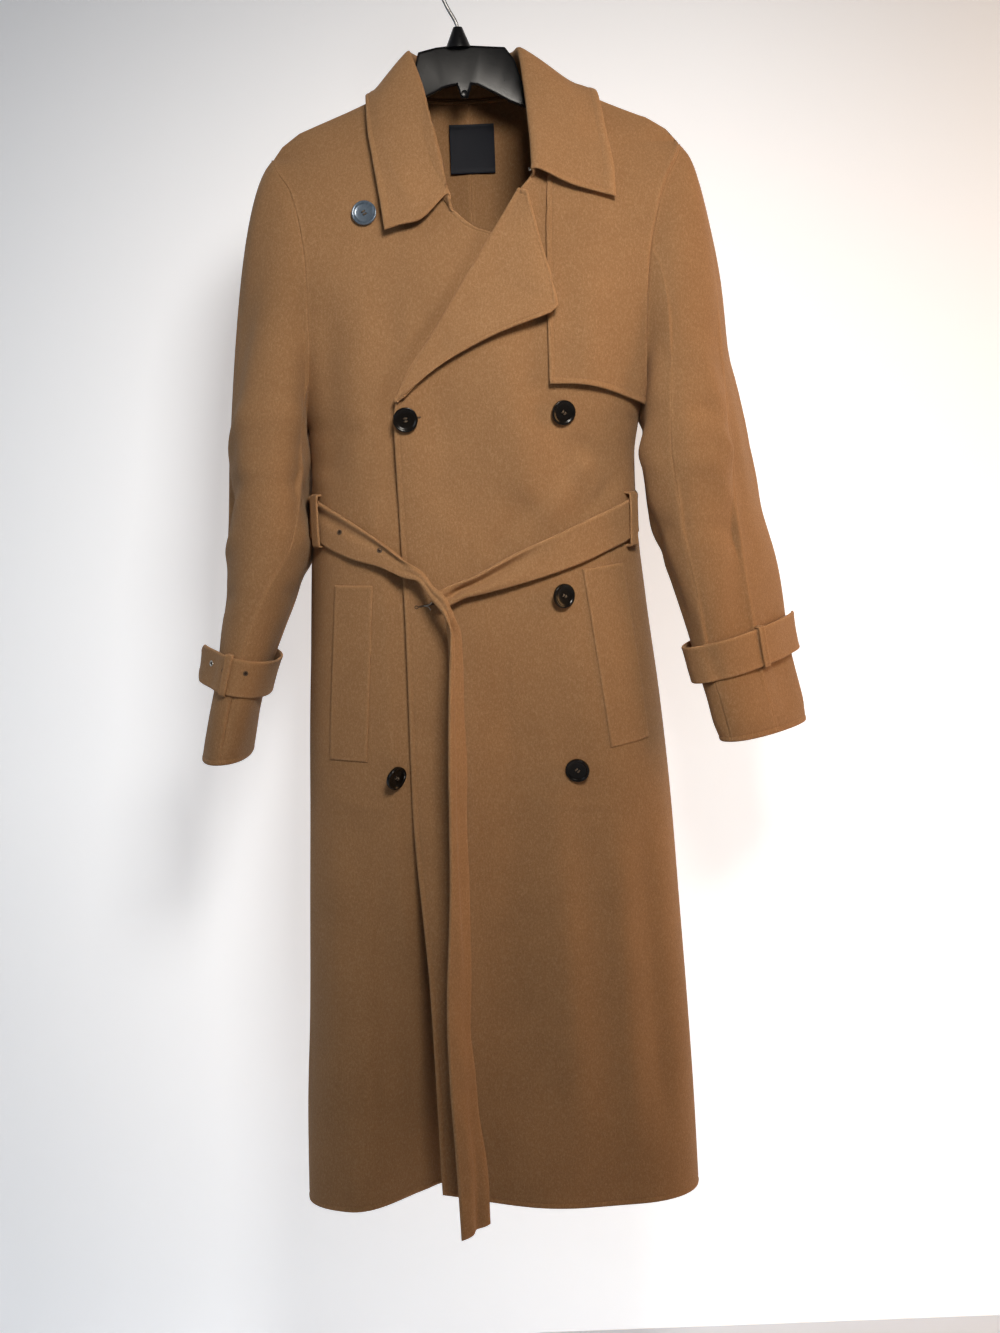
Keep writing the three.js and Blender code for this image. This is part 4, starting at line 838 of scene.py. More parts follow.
def collar_profile(at):
    value = {name: row_look(COLLAR, name, at) for name in COLLAR}
    behind = (at >= RIGHT_SHOULDER_STATION) & (at <= LEFT_SHOULDER_STATION)

    def on_coat(x, z, lift):
        z = np.minimum(z, ridge(x))
        return np.where(behind[..., None], on_body(x, z, 1, lift), on_body(x, z, -1, lift))

    seam = on_coat(value["seam_x"], value["seam_z"], 0.0)
    crest = np.stack([value["fold_x"], value["fold_y"], value["fold_z"]], -1)

    def fall(share, lift):
        x = lerp(value["seam_x"], value["edge_x"], share)
        return on_coat(x, lerp(value["seam_z"], value["edge_z"], share), lift)

    near_middle = fall(0.45, value["lift"] + 3)
    stand_top = lerp(crest, seam, 0.18)
    fall_top = lerp(crest, near_middle, 0.14)
    apart = fall_top - stand_top
    apart = 2.2 * apart / np.linalg.norm(apart, axis=-1, keepdims=True)
    return np.stack([
        lerp(seam, crest, 0.03), lerp(seam, crest, 0.5), stand_top - apart, crest, fall_top + apart,
        near_middle, fall(0.75, value["lift"] + 1), fall(1.0, value["lift"]),
    ])


def collar_place(u, v):
    flat_u, flat_v = u.reshape(-1), v.reshape(-1)
    profile = collar_profile(flat_u * (len(COLLAR["lift"]) - 1))
    return through(profile, flat_v).reshape(u.shape + (3,))


def collar_folds(points, u, v):
    x, z = points[..., 0], points[..., 2]
    swell = unevenness(x * 1.4, z, 44, 110, 0.8)
    away = 4.5 * ease((v - 0.55) / 0.45) * ease((0.2 - u) / 0.2)
    sway = 2.2 * ease((v - 0.5) / 0.5) * (
        np.exp(-(((u - 0.93) / 0.03) ** 2)) - 0.8 * np.exp(-(((u - 0.86) / 0.03) ** 2))
    )
    return swell * ease(v / 0.3) + away + sway


# Painted highlight: this copy of the wool is 6% lighter than the body's.
WOOL_COLLAR = wool_material("camel wool, collar and lapel", 1.06)
collar = cloth_sheet(
    "collar_cloth", collar_place, ("stitched", "stitched", "seam", "stitched"), 3.6, COLLAR_THICK,
    relief=collar_folds,
)
finish_cloth(collar, WOOL_COLLAR, ["collar"], (0.62, 0.14), 0.07, ["front_left", "front_right"])


# ------------------------------------------------------------------ lapel
# The top of the left front, turned back over the chest along a soft roll. Only the
# left one is turned; its point lies out over the flap.

LAPEL = table(
    "roll_x roll_z edge_x edge_z lift",
    (58, -259, 63, -262, 8), (38, -290, 75, -318, 12), (14, -327, 88, -369, 17),
    (9, -335, 88.5, -376, 17), (4, -342, 82, -382, 17), (-28, -391, 28, -401, 13),
    (-55, -433, -28, -429, 9), (-75, -464, -66, -457, 7),
)
ROLL_SHARE = 0.1               # share of the lapel's width that is in its roll
ROLL_OUT = 3.4                 # how far the roll stands out past the front's edge


def lapel_place(u, v):
    at = (1 - v) * (len(LAPEL["lift"]) - 1)
    value = {name: row_look(LAPEL, name, at) for name in LAPEL}
    t = np.clip((u - ROLL_SHARE) / (1 - ROLL_SHARE), 0, 1)
    x = lerp(value["roll_x"], value["edge_x"], t)
    z = lerp(value["roll_z"], value["edge_z"], t)
    lift = lerp(CLOTH + 0.8, value["lift"], ease(t))
    around = np.clip(1 - u / ROLL_SHARE, 0, 1) * math.pi * 0.8
    out_x = -ROLL_OUT * np.sin(around)
    drop = (CLOTH + 0.8) / 2 * (1 - np.cos(around))
    return on_body(x + out_x * 0.84, z + ROLL_OUT * np.sin(around) * 0.54, -1, lift - drop)


def lapel_folds(points, u, v):
    x, z = points[..., 0], points[..., 2]
    flat = ease((u - 0.15) / 0.2)
    swell = unevenness(x, z, 52, 100, 0.9)
    sway = fold(x, z, (20, -322), (60, -384), 22, -1.8) + fold(x, z, (-30, -404), (10, -384), 14, 1.2)
    return (swell + sway) * flat


lapel = cloth_sheet(
    "lapel_left_cloth", lapel_place, ("cut", "stitched", "stitched", "stitched"), 3.6,
    relief=lapel_folds,
)
finish_cloth(lapel, WOOL_COLLAR, ["lapel_left"], (0.1, 0.26), 0.0135, ["front_left"], "folded")


# ------------------------------------------------------------------ gun flap
# A loose layer over the left chest, sewn into the collar, shoulder and armhole seams
# and free along its inner and lower edges.

GUN_FLAP = table(
    "inner_x inner side dip lift curve",
    (79, -451, -474, -7, 7, 0), (79, -436, -456, -4, 5, 0), (79, -395, -420, 0, 4.2, 0),
    (80, -345, -372, 0, 3.8, 0), (81, -295, -322, 0, 3.8, 0.1), (85, -245, -278, 0, 4, 0.3),
    (90, -200, -245, 0, 4, 0.65), (93, -172, -227, 0, 4, 0.9), (95, -156, -218, 0, 3.6, 1),
)
FLAP_INSET = 2.2


def gun_flap_place(u, v):
    at = v * (len(GUN_FLAP["lift"]) - 1)
    value = {name: row_look(GUN_FLAP, name, at) for name in GUN_FLAP}
    side_x = smooth_look(BODY["z"], BODY["right"], value["side"]) - FLAP_INSET
    x = lerp(value["inner_x"], side_x, u)
    z = level_on_row(
        value["inner"], value["side"], value["dip"], value["curve"],
        value["inner_x"], NECK_RIGHT, side_x, x, ridge,
    )
    return on_body(x, np.minimum(z, ridge(x) - 2), -1, value["lift"])


def gun_flap_folds(points, u, v):
    x, z = points[..., 0], points[..., 2]
    loose = ease((0.75 - v) / 0.5)
    wave = fold(x, z, (118, -470), (126, -330), 16, 2.0) + fold(x, z, (92, -470), (98, -330), 12, -0.8)
    corner = 5.0 * ease((0.3 - v) / 0.3) * ease((u - 0.8) / 0.2)
    return (wave + corner) * loose + unevenness(x, z, 61, 110, 0.5) * ease((1 - u) / 0.1)


gun_flap = cloth_sheet(
    "gun_flap_cloth", gun_flap_place, ("stitched", "seam", "stitched", "seam"), 3.8,
    relief=gun_flap_folds,
)
finish_cloth(gun_flap, WOOL_BODY, ["gun_flap"], (0.13, 0.3), 0.036, ["front_left"])


# ------------------------------------------------------------------ pocket welts
# A long slanting welt on each front, laid over the pocket's mouth and stitched down
# all round but its outer edge.

WELTS = {
    "right": ((-147, -107.5), (-647.5, -648), (-161, -122), (-829.5, -831)),
    "left": ((107, 149.5), (-639, -635.5), (129, 170), (-825, -819.5)),
}
WELT_STAND = 1.35             # its outer face off the front's

for label, (top_x, top_z, low_x, low_z) in WELTS.items():

    def welt_place(u, v, top_x=top_x, top_z=top_z, low_x=low_x, low_z=low_z):
        x = lerp(lerp(low_x[0], low_x[1], u), lerp(top_x[0], top_x[1], u), v)
        z = lerp(lerp(low_z[0], low_z[1], u), lerp(top_z[0], top_z[1], u), v)
        front_folds = left_front_folds if x.flat[0] > 0 else right_front_folds
        middle = np.full_like(u, 0.5)
        swell = front_folds(on_body(x, z, -1), middle, middle)
        return on_body(x, z, -1, WELT_STAND + swell)

    def welt_folds(points, u, v, sign=1 if label == "left" else -1):
        open_edge = u if sign > 0 else 1 - u
        gape = 0.9 * ease((open_edge - 0.7) / 0.3) * np.sin(math.pi * v)
        return gape + unevenness(points[..., 0], points[..., 2], 66, 90, 0.25)

    welt = cloth_sheet(
        f"pocket_welt_{label}_cloth", welt_place, ("turned",) * 4, 3.4, relief=welt_folds
    )
    finish_cloth(
        welt, WOOL_BODY, [f"pocket_welt_{label}"], (0.046, 0.19), 0.0087, [f"front_{label}"], "laid"
    )


# ------------------------------------------------------------------ belt
# One length of wool doubled on itself, so thicker than the coat's cloth. It goes round
# behind, the end from the right crosses over the other at the waist and hangs down.

BELT_THICK = 3.6
FRONT_BELT_STAND = 4.1         # outer face off the fronts, before each row's own share
BACK_BELT_STAND = 5.3
LEFT_ARM = table(
    "x top low off",
    (-44, -656, -667, 12), (-31, -650, -670, 10), (-14, -645, -663, 8.5), (2, -639, -660, 7),
    (35, -623, -653, 4), (70, -607, -644, 2.2), (105, -592, -633, 1.6), (130, -582, -623, 1.2),
    (148, -575, -616, 1), (158, -570, -611, 0.8), (164.5, -567, -607, 1),
)
RIGHT_ARM = table(
    "x top low off",
    (-168, -557, -600, 1.6), (-161, -560, -603, 1), (-150, -566, -610, 1), (-125, -581, -621, 3),
    (-97, -601, -629, 6), (-74, -620, -640, 9),
)
BACK_BELT = {"middle": -1.9, "half": 168, "start": -604, "end": -599, "sag": 6, "width": 42}
BACK_BELT_TURNS = np.linspace(0.06, 0.94, 13)
CROSSING = table(
    "low_x low_y low_z top_x top_y top_z",
    (-60, -91, -643.5, -55, -86, -634), (-49, -98, -659, -44.5, -96, -647.5),
    (-41, -103, -669, -35, -102, -655.5), (-35, -106, -677, -29, -103, -665.5),
    (-31, -108, -687, -23.5, -99, -681),
)
TAIL = table(
    "z left right near far",
    (-703, -29.5, -17.5, -109, -89), (-765, -32.5, -18, -117, -86), (-827, -36, -18, -118, -86),
    (-889, -37.5, -20, -117, -86), (-973, -41, -19.5, -114, -86), (-1079, -48.5, -24, -111, -86),
    (-1165, -49, -23, -111, -86), (-1253, -46, -15, -110, -86), (-1336, -44, -13, -109, -86),
)
TAIL_SLANT = 8                 # the hanging end is cut askew
KNOT_PLACE = (-38, -662)


def within_sides(x, z):
    left = smooth_look(BODY["z"], BODY["left"], z)
    return np.clip(x, left, smooth_look(BODY["z"], BODY["right"], z))


def belt_stations(v):
    """The belt's outer face at height v of its width, at each row along it."""
    rows = []

    def lay(x, low, top, face, stand):
        z = lerp(low, top, v)
        rows.append(on_body(within_sides(x, z), z, face, stand))

    for x, top, low, off in zip(*LEFT_ARM.values()):
        lay(x, low, top, -1, FRONT_BELT_STAND + off)
    for t in BACK_BELT_TURNS:
        x = BACK_BELT["middle"] + BACK_BELT["half"] * math.cos(math.pi * t)
        low = lerp(BACK_BELT["start"], BACK_BELT["end"], t) - BACK_BELT["sag"] * math.sin(math.pi * t)
        lay(x, low, low + BACK_BELT["width"], 1, BACK_BELT_STAND)
    for x, top, low, off in zip(*RIGHT_ARM.values()):
        lay(x, low, top, -1, FRONT_BELT_STAND + off)
    for low_x, low_y, low_z, top_x, top_y, top_z in zip(*CROSSING.values()):
        low, top = np.array((low_x, low_y, low_z)), np.array((top_x, top_y, top_z))
        bulge = np.array((0, -2.6, 0)) * np.sin(math.pi * v)[:, None]
        rows.append(lerp(low, top, v[:, None]) + bulge)
    for z, left, right, near, far in zip(*TAIL.values()):
        depth = lerp(near, far, v) - 3.0 * np.sin(math.pi * v)
        drop = TAIL_SLANT * v * (z == TAIL["z"][-1])
        rows.append(np.stack([lerp(left, right, v**0.8), depth, z + drop], -1))
    return np.stack(rows)


def belt_place(u, v):
    return through(belt_stations(v.reshape(-1)), u.reshape(-1)).reshape(u.shape + (3,))


def belt_folds(points, u, v):
    x, y, z = points[..., 0], points[..., 1], points[..., 2]
    front = ease((-y - 8) / 12)
    by_knot = np.exp(-(((x - KNOT_PLACE[0]) / 62) ** 2)) * front * ease((z + 705) / 20)
    right = front * ease((-62 - x) / 20) * ease((z + 680) / 12)
    rolled = right * (1.4 * np.exp(-(((v - 0.92) / 0.08) ** 2)) - 2.6 * np.exp(-(((v - 0.7) / 0.14) ** 2)))
    lengthwise = by_knot * (
        0.9 * np.exp(-(((v - 0.16) / 0.13) ** 2))
        - 1.2 * np.exp(-(((v - 0.44) / 0.13) ** 2))
        + 0.6 * np.exp(-(((v - 0.72) / 0.12) ** 2))
    )
    left = front * ease((x + 34) / 14) * ease((84 - x) / 60)
    crease_at = lerp(0.66, 0.92, np.clip((x + 30) / 90, 0, 1))
    drawn = left * (
        1.6 * np.exp(-(((v - 0.2) / 0.14) ** 2)) - 8.0 * np.exp(-(((v - crease_at + 0.12) / 0.2) ** 2))
    )
    tail = ease((-690 - z) / 30)
    rippled = tail * (
        1.2 * np.sin(z / 23.0 + 1.4 * np.sin(z / 61.0) + 2.2 * v) * ease((v - 0.12) / 0.4)
        * (0.35 + 0.65 * ease((-930 - z) / 60))
    )
    return rolled + lengthwise + drawn + rippled + unevenness(u * 1900, v * 42, 71, 120, 0.4)


# Painted highlight: this copy of the wool is 4% lighter than the body's.
WOOL_BELT = wool_material("camel wool, belt", 1.04)
belt = cloth_sheet(
    "belt_cloth", belt_place, ("turned",) * 4, 3.4, BELT_THICK,
    relief=belt_folds,
)
finish_cloth(
    belt, WOOL_BELT, ["belt_back", "belt_right_arm", "belt_left_arm", "belt_knot", "belt_tail"],
    (0.042, 1.5), 0.062, ["belt_loop_right", "belt_loop_left"], "hung",
)


# ------------------------------------------------------------------ belt loops
# A narrow turned loop on each side seam, sewn down above and below the belt.

BELT_LOOPS = {"right": (-160, -557, -607), "left": (157, -566, -618)}
LOOP_THICK = 1.9
LOOP_HALF = 3.4


def carrier_profile(v, half, over):
    """How far a loop stands off and how high it is, from its lower sewn end to its upper."""
    level = (-half - 2.4, -half - 2.2, -half - 1.2, 0, half + 1.2, half + 2.2, half + 2.4)
    out = (-1.5, 2.2, over - 0.7, over, over - 0.7, 2.2, -1.5)
    share = (0, 0.07, 0.17, 0.5, 0.83, 0.93, 1)
    share = np.array(share, float)
    return smooth_look(share, np.array(level, float), v), smooth_look(share, np.array(out, float), v)


for label, (loop_x, loop_top, loop_low) in BELT_LOOPS.items():

    def loop_place(u, v, x=loop_x, top=loop_top, low=loop_low):
        level, out = carrier_profile(v, (top - low) / 2, 8.4)
        return on_body(x + lerp(-LOOP_HALF, LOOP_HALF, u), (top + low) / 2 + level, -1, out)

    loop = cloth_sheet(
        f"belt_loop_{label}_cloth", loop_place, ("seam", "seam", "seam", "seam"), 1.6, LOOP_THICK
    )
    finish_cloth(
        loop, WOOL_BELT, [f"belt_loop_{label}"], (0.013, 0.078), 0.00098, [f"front_{label}"], "stretched"
    )


# ------------------------------------------------------------------ cuff straps
# A strap round each cuff, held by one loop, its other end sewn down on the back of the
# sleeve. The right one's free end is shaped and has eyelets.

STRAP_WIDTH = 40
STRAP_THICK = 2.6
STRAP_CLEAR = STRAP_THICK + 1.5
STRAPS = {
    "right": {"rows": RIGHT_SLEEVE, "side": -1, "ring": 3.82, "tip": -4, "sewn": 300, "tip_out": 15,
              "slack_at": 170, "slack": 1, "tilt": 0.2, "loop": 72, "loop_half": 6.5, "point": 12,
              "cut_back": 0},
    "left": {"rows": LEFT_SLEEVE, "side": 1, "ring": 3.84, "tip": -78, "sewn": 254, "tip_out": 9,
             "slack_at": 110, "slack": 5, "tilt": 0.05, "loop": 5, "loop_half": 3.2, "point": 0,
             "cut_back": 9},
}


def cuff_point(strap, angle, up, out):
    rows = strap["rows"]
    spacing = rows["z"][3] - rows["z"][4]
    point = ring_point(rows, angle, strap["ring"] - up / spacing, strap["side"], out)
    axis = row_look(rows, "x", np.array(strap["ring"]))
    point[..., 2] += strap["tilt"] * strap["side"] * (point[..., 0] - axis)
    return point


def strap_place(strap):
    def place(u, v):
        t = u if strap["side"] < 0 else 1 - u
        up_share = v - 0.5
        from_tip = t * 260
        shaped = 1 - 0.66 * np.clip(1 - from_tip / 13, 0, 1) * (strap["point"] > 0)
        t = t + strap["cut_back"] / 260 * (up_share + 0.5) * (1 - t)
        angle = lerp(strap["tip"], strap["sewn"], t)
        away = (angle - strap["slack_at"]) / 40
        loose = strap["slack"] * np.exp(-(away**2)) + strap["tip_out"] * ease((0.16 - t) / 0.16)
        return cuff_point(strap, angle, up_share * STRAP_WIDTH * shaped, STRAP_CLEAR + loose)

    return place


def strap_folds(strap):
    def relief(points, u, v):
        t = u if strap["side"] < 0 else 1 - u
        swell = unevenness(t * 260, v * STRAP_WIDTH, 83, 60, 0.5)
        dent = 2.4 * np.exp(-(((t - 0.43) / 0.035) ** 2)) if strap["side"] > 0 else 0
        return swell - dent

    return relief


for label, strap in STRAPS.items():
    band = cloth_sheet(
        f"cuff_strap_{label}_cloth", strap_place(strap), ("turned",) * 4, 2.8, STRAP_THICK,
        relief=strap_folds(strap),
    )
    if label == "right":
        right_strap = band
    finish_cloth(
        band, WOOL_BELT, [f"cuff_strap_{label}"], (0.04, 0.29), 0.0112,
        [f"sleeve_{label}_front", f"sleeve_{label}_back"], "stretched",
    )

    def cuff_loop_place(u, v, strap=strap):
        level, out = carrier_profile(v, STRAP_WIDTH / 2, STRAP_CLEAR + 3.0)
        across = lerp(-1, 1, u if strap["side"] < 0 else 1 - u) * strap["loop_half"]
        return cuff_point(strap, strap["loop"] + across, level, out)

    loop = cloth_sheet(
        f"cuff_strap_loop_{label}_cloth", cuff_loop_place, ("seam", "seam", "seam", "seam"), 1.6,
        LOOP_THICK,
    )
    finish_cloth(
        loop, WOOL_BELT, [f"cuff_strap_loop_{label}"], (0.01, 0.07), 0.00065,
        [f"sleeve_{label}_front"], "stretched",
    )


# ------------------------------------------------------------------ label
# A bare satin tape inside the back neck, its two ends turned under and stitched down.

LABEL = {"left": -13, "right": 35, "top": -178, "low": -228, "thick": 0.6, "stand": 1.2}


def label_place(u, v):
    x = lerp(LABEL["left"], LABEL["right"], u)
    z = lerp(LABEL["low"], LABEL["top"], v)
    return on_body(x, z, 1, -(CLOTH + 0.3 + LABEL["stand"] + LABEL["thick"]))


def label_folds(points, u, v):
    ends = 0.5 * np.exp(-(((np.minimum(v, 1 - v) - 0.04) / 0.03) ** 2))
    return ends + unevenness(points[..., 0], points[..., 2], 93, 40, 0.35)


def two_tones(tree, shader, mask, deep, pale):
    """Base colour that a noise mixes from a deep and a pale tone."""
    tint = node(tree, "ShaderNodeMix", {0: mask.outputs[0]}, data_type="RGBA")
    tint.inputs[6].default_value = deep
    tint.inputs[7].default_value = pale
    tree.links.new(tint.outputs[2], shader.inputs["Base Color"])


def satin_material():
    """Black satin tape: fine floats along the tape over a ribbed ground."""
    material, tree, shader = new_material("label satin")
    where = node(tree, "ShaderNodeUVMap", uv_map="cloth").outputs[0]
    ribs = node(tree, "ShaderNodeTexWave", {"Vector": where, "Scale": 620.0, "Distortion": 0.4},
                bands_direction="Y")
    floats = node(tree, "ShaderNodeTexNoise", {"Vector": where, "Scale": 900.0, "Detail": 3.0})
    two_tones(tree, shader, floats, (0.004, 0.005, 0.009, 1), (0.012, 0.014, 0.022, 1))
    rough = node(tree, "ShaderNodeMapRange", {"Value": floats.outputs[0], 3: 0.5, 4: 0.68})
    shader.inputs["Specular IOR Level"].default_value = 0.25
    tree.links.new(rough.outputs[0], shader.inputs["Roughness"])
    add_bump(tree, shader, ribs.outputs[0], 0.3, 0.0002)
    return material


label_piece = cloth_sheet(
    "label_tape", label_place, ("cut", "cut", "cut", "cut"), 2.0, LABEL["thick"], relief=label_folds
)
label_piece.data.materials.append(satin_material())
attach(label_piece, "root")
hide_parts("label")


# ------------------------------------------------------------------ hook and eye
# Bent plated wire: the eye on the right end of the collar's stand, the hook on the left.

WIRE = 0.8


def steel_material(name, tone, roughness):
    """Drawn wire with fine lengthwise scratches and a little dulling."""
    material, tree, shader = new_material(name)
    where = node(tree, "ShaderNodeTexCoord").outputs["Object"]
    dull = node(tree, "ShaderNodeTexNoise", {"Vector": where, "Scale": 60.0, "Detail": 5.0})
    fine = node(tree, "ShaderNodeTexNoise", {"Vector": where, "Scale": 1800.0, "Detail": 3.0})
    two_tones(tree, shader, dull, tuple(0.8 * value for value in tone) + (1,), tone + (1,))
    rough = node(
        tree, "ShaderNodeMapRange", {"Value": fine.outputs[0], 3: roughness - 0.06, 4: roughness + 0.1}
    )
    tree.links.new(rough.outputs[0], shader.inputs["Roughness"])
    add_bump(tree, shader, fine.outputs[0], 0.12, 0.0001)
    shader.inputs["Metallic"].default_value = 1.0
    return material


def bent_wire(name, points, radius, material):
    """Wire along a smooth line through points: a bezier curve given a round section."""
    bpy.ops.object.select_all(action="DESELECT")
    bpy.ops.curve.primitive_nurbs_path_add(location=(0, 0, 0))
    curve = bpy.context.object
    curve.name = name
    spline = curve.data.splines[0]
    while len(spline.points) < len(points):
        spline.points.add(1)
    for point, place in zip(spline.points, points):
        point.co = (*(value / 1000 for value in place), 1)
    spline.order_u = 4
    spline.use_endpoint_u = True
    spline.resolution_u = 8
    curve.data.dimensions = "3D"
    curve.data.bevel_depth = radius / 1000
    curve.data.bevel_resolution = 5
    curve.data.use_fill_caps = True
    bpy.ops.object.convert(target="MESH")
    wire = bpy.context.object
    wire.data.materials.clear()
    wire.data.materials.append(material)
    wire.data.shade_smooth()
    return wire


PLATED = steel_material("plated wire", (0.62, 0.6, 0.55), 0.3)


def on_stand(at, up, out):
    """A point off the inner or outer face of the collar's stand."""
    def line(place):
        profile = collar_profile(np.array([float(place)]))
        return profile[0, 0], profile[1, 0]

    foot, middle = line(at)
    along = line(at + 0.05)[0] - line(at - 0.05)[0]
    rise = middle - foot
    normal = np.cross(along, rise)
    return foot + rise * up * 2 + normal / np.linalg.norm(normal) * out


EYE_POINTS = [
    on_stand(0.5, 0.2, 1.6), on_stand(0.42, 0.28, 3.4), on_stand(0.38, 0.45, 4.0),
    on_stand(0.42, 0.62, 3.4), on_stand(0.5, 0.7, 1.6),
]
HOOK_POINTS = [
    on_stand(12.7, 0.2, 0.8), on_stand(12.84, 0.42, 1.6), on_stand(12.95, 0.47, 2.8),
    on_stand(12.94, 0.4, 3.9), on_stand(12.84, 0.3, 4.3),
]
for name, points, cad in (
    ("collar_eye_wire", EYE_POINTS, "collar_eye"), ("collar_hook_wire", HOOK_POINTS, "collar_hook"),
):
    trim = bent_wire(name, points, WIRE, PLATED)
    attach(trim, "root")
    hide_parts(cad)


# ------------------------------------------------------------------ neck binding
# A narrow fold of the wool that covers the seam of the back neck on the inside.

BINDING_RADIUS = 1.5

binding_points = []
for x in np.linspace(NECK_LEFT + 12, NECK_RIGHT - 12, 15):
    level = back_top(np.array(x)) - 2.5
    binding_points.append(on_body(np.array(x), level, 1, -(CLOTH + 0.6)))
binding = bent_wire("neck_binding", binding_points, BINDING_RADIUS, WOOL_COLLAR)
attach(binding, "root")


# ------------------------------------------------------------------ buttons
# Polished four-hole buttons 25 mm across with a raised rim, sewn on with doubled thread.
# The one on the shoulder is black like the others; its blue-grey colour is a painted reflection of the
# light off its sloping face.

BUTTON_RADIUS, BUTTON_HEIGHT = 12.5, 4.0
BUTTONS = {                    # x, z, thread shank, turn of the thread, then the way it tips
    "button_top_right": (-66, -481.5, 0.8, 8, 90, 6), "button_top_left": (92, -480, 1.2, 50, 60, 10),
    "button_middle_left": (86, -665, 3.0, 62, 86, 24), "button_low_left": (95, -845, 3.0, 48, -58, 24),
    "button_low_right": (-93, -846, 4.2, 55, 64, 38), "button_shoulder": (-99, -276, 0.8, 30, 90, 4),
}
HOLE_APART, HOLE_RADIUS = 2.1, 0.95
bpy.context.view_layer.update()


def on_cloth(cloth, x, z, out=0.0):
    """The place straight in front of a sheet's outer face at x, z, in metres."""
    found, place, normal, _ = cloth.ray_cast((x / 1000, -1, z / 1000), (0, 1, 0))
    return place + Vector((0, -out / 1000, 0)) if found else None


def pick_faces(mesh, chosen):
    """Selects, in edit mode, only the faces that `chosen` accepts."""
    bpy.ops.mesh.select_mode(type="FACE")
    bpy.ops.mesh.select_all(action="DESELECT")
    edit = bmesh.from_edit_mesh(mesh)
    for face in edit.faces:
        face.select_set(chosen(face))
    bmesh.update_edit_mesh(mesh)


def button_blank():
    """A button at the origin, its front towards +Z, in metres."""
    bpy.ops.object.select_all(action="DESELECT")
    bpy.ops.mesh.primitive_cylinder_add(
        vertices=64, radius=BUTTON_RADIUS / 1000, depth=BUTTON_HEIGHT / 1000,
        location=(0, 0, BUTTON_HEIGHT / 2000),
    )
    blank = bpy.context.object
    bpy.ops.object.transform_apply(location=True)
    bpy.ops.object.mode_set(mode="EDIT")
    pick_faces(blank.data, lambda face: face.normal.z > 0.9)
    bpy.ops.mesh.inset(thickness=0.0019)
    bpy.ops.mesh.inset(thickness=0.0012)
    bpy.ops.transform.translate(value=(0, 0, -0.0011))
    bpy.ops.mesh.inset(thickness=0.0028)
    bpy.ops.transform.translate(value=(0, 0, -0.0003))
    bpy.ops.mesh.inset(thickness=0.0024)
    pick_faces(blank.data, lambda face: face.normal.z < -0.9)
    bpy.ops.mesh.inset(thickness=0.0025)
    bpy.ops.object.mode_set(mode="OBJECT")
    bevel = blank.modifiers.new("rim", "BEVEL")
    bevel.width = 0.0009
    bevel.segments = 4
    bevel.limit_method = "ANGLE"
    bevel.angle_limit = math.radians(25)
    bpy.ops.object.modifier_apply(modifier="rim")
    for turn in range(4):
        angle = math.pi / 4 + turn * math.pi / 2
        bpy.ops.object.select_all(action="DESELECT")
        bpy.ops.mesh.primitive_cylinder_add(
            vertices=20, radius=HOLE_RADIUS / 1000, depth=0.02,
            location=(HOLE_APART * math.cos(angle) / 1000, HOLE_APART * math.sin(angle) / 1000, 0),
        )
        drill = bpy.context.object
        cut = blank.modifiers.new("hole", "BOOLEAN")
        cut.operation = "DIFFERENCE"
        cut.object = drill
        cut.solver = "EXACT"
        bpy.ops.object.select_all(action="DESELECT")
        blank.select_set(True)
        bpy.context.view_layer.objects.active = blank
        bpy.ops.object.modifier_apply(modifier="hole")
        bpy.data.objects.remove(drill)
    bpy.ops.object.shade_smooth_by_angle(angle=math.radians(28))
    return blank


def thread_blank():
    """Two strands of doubled thread over the button's middle, along X."""
    strands = []
    reach = HOLE_APART * math.cos(math.pi / 4)
    for row in (-reach, reach):
        for side in (-0.38, 0.38):
            low, high, crest = row + side * 0.6, row + side, row + side * 1.3
            points = [
                (-reach, low, 0.6), (-reach, high, 2.9), (-reach * 0.5, crest, 3.5),
                (reach * 0.5, crest, 3.5), (reach, high, 2.9), (reach, low, 0.6),
            ]
            strands.append(bent_wire("thread", points, 0.36, None))
    bpy.ops.object.select_all(action="DESELECT")
    for strand in strands:
        strand.select_set(True)
    bpy.context.view_layer.objects.active = strands[0]
    bpy.ops.object.join()
    return bpy.context.object


def polished_material(name, deep, pale, roughness, coat):
    """Cast resin: slow clouds of a paler tone under a polished skin, with fine scratches."""
    material, tree, shader = new_material(name)
    where = node(tree, "ShaderNodeTexCoord").outputs["Object"]
    clouds = node(
        tree, "ShaderNodeTexNoise", {"Vector": where, "Scale": 150.0, "Detail": 4.0, "Distortion": 1.4}
    )
    two_tones(tree, shader, clouds, deep + (1,), pale + (1,))
    scratch = node(tree, "ShaderNodeTexNoise", {"Vector": where, "Scale": 1400.0, "Detail": 2.0})
    rough = node(
        tree, "ShaderNodeMapRange", {"Value": scratch.outputs[0], 3: roughness, 4: roughness + 0.1}
    )
    tree.links.new(rough.outputs[0], shader.inputs["Roughness"])
    add_bump(tree, shader, scratch.outputs[0], 0.05, 0.0001)
    shader.inputs["Coat Weight"].default_value = coat
    shader.inputs["Coat Roughness"].default_value = 0.08
    return material


def thread_material(name, colour):
    """Twisted thread: a fine slanting ply."""
    material, tree, shader = new_material(name)
    where = node(tree, "ShaderNodeTexCoord").outputs["Object"]
    ply = node(tree, "ShaderNodeTexNoise", {"Vector": where, "Scale": 2600.0, "Detail": 2.0})
    two_tones(tree, shader, ply, tuple(0.6 * value for value in colour) + (1,), colour + (1,))
    add_bump(tree, shader, ply.outputs[0], 0.5, 0.0001)
    shader.inputs["Roughness"].default_value = 0.75
    return material


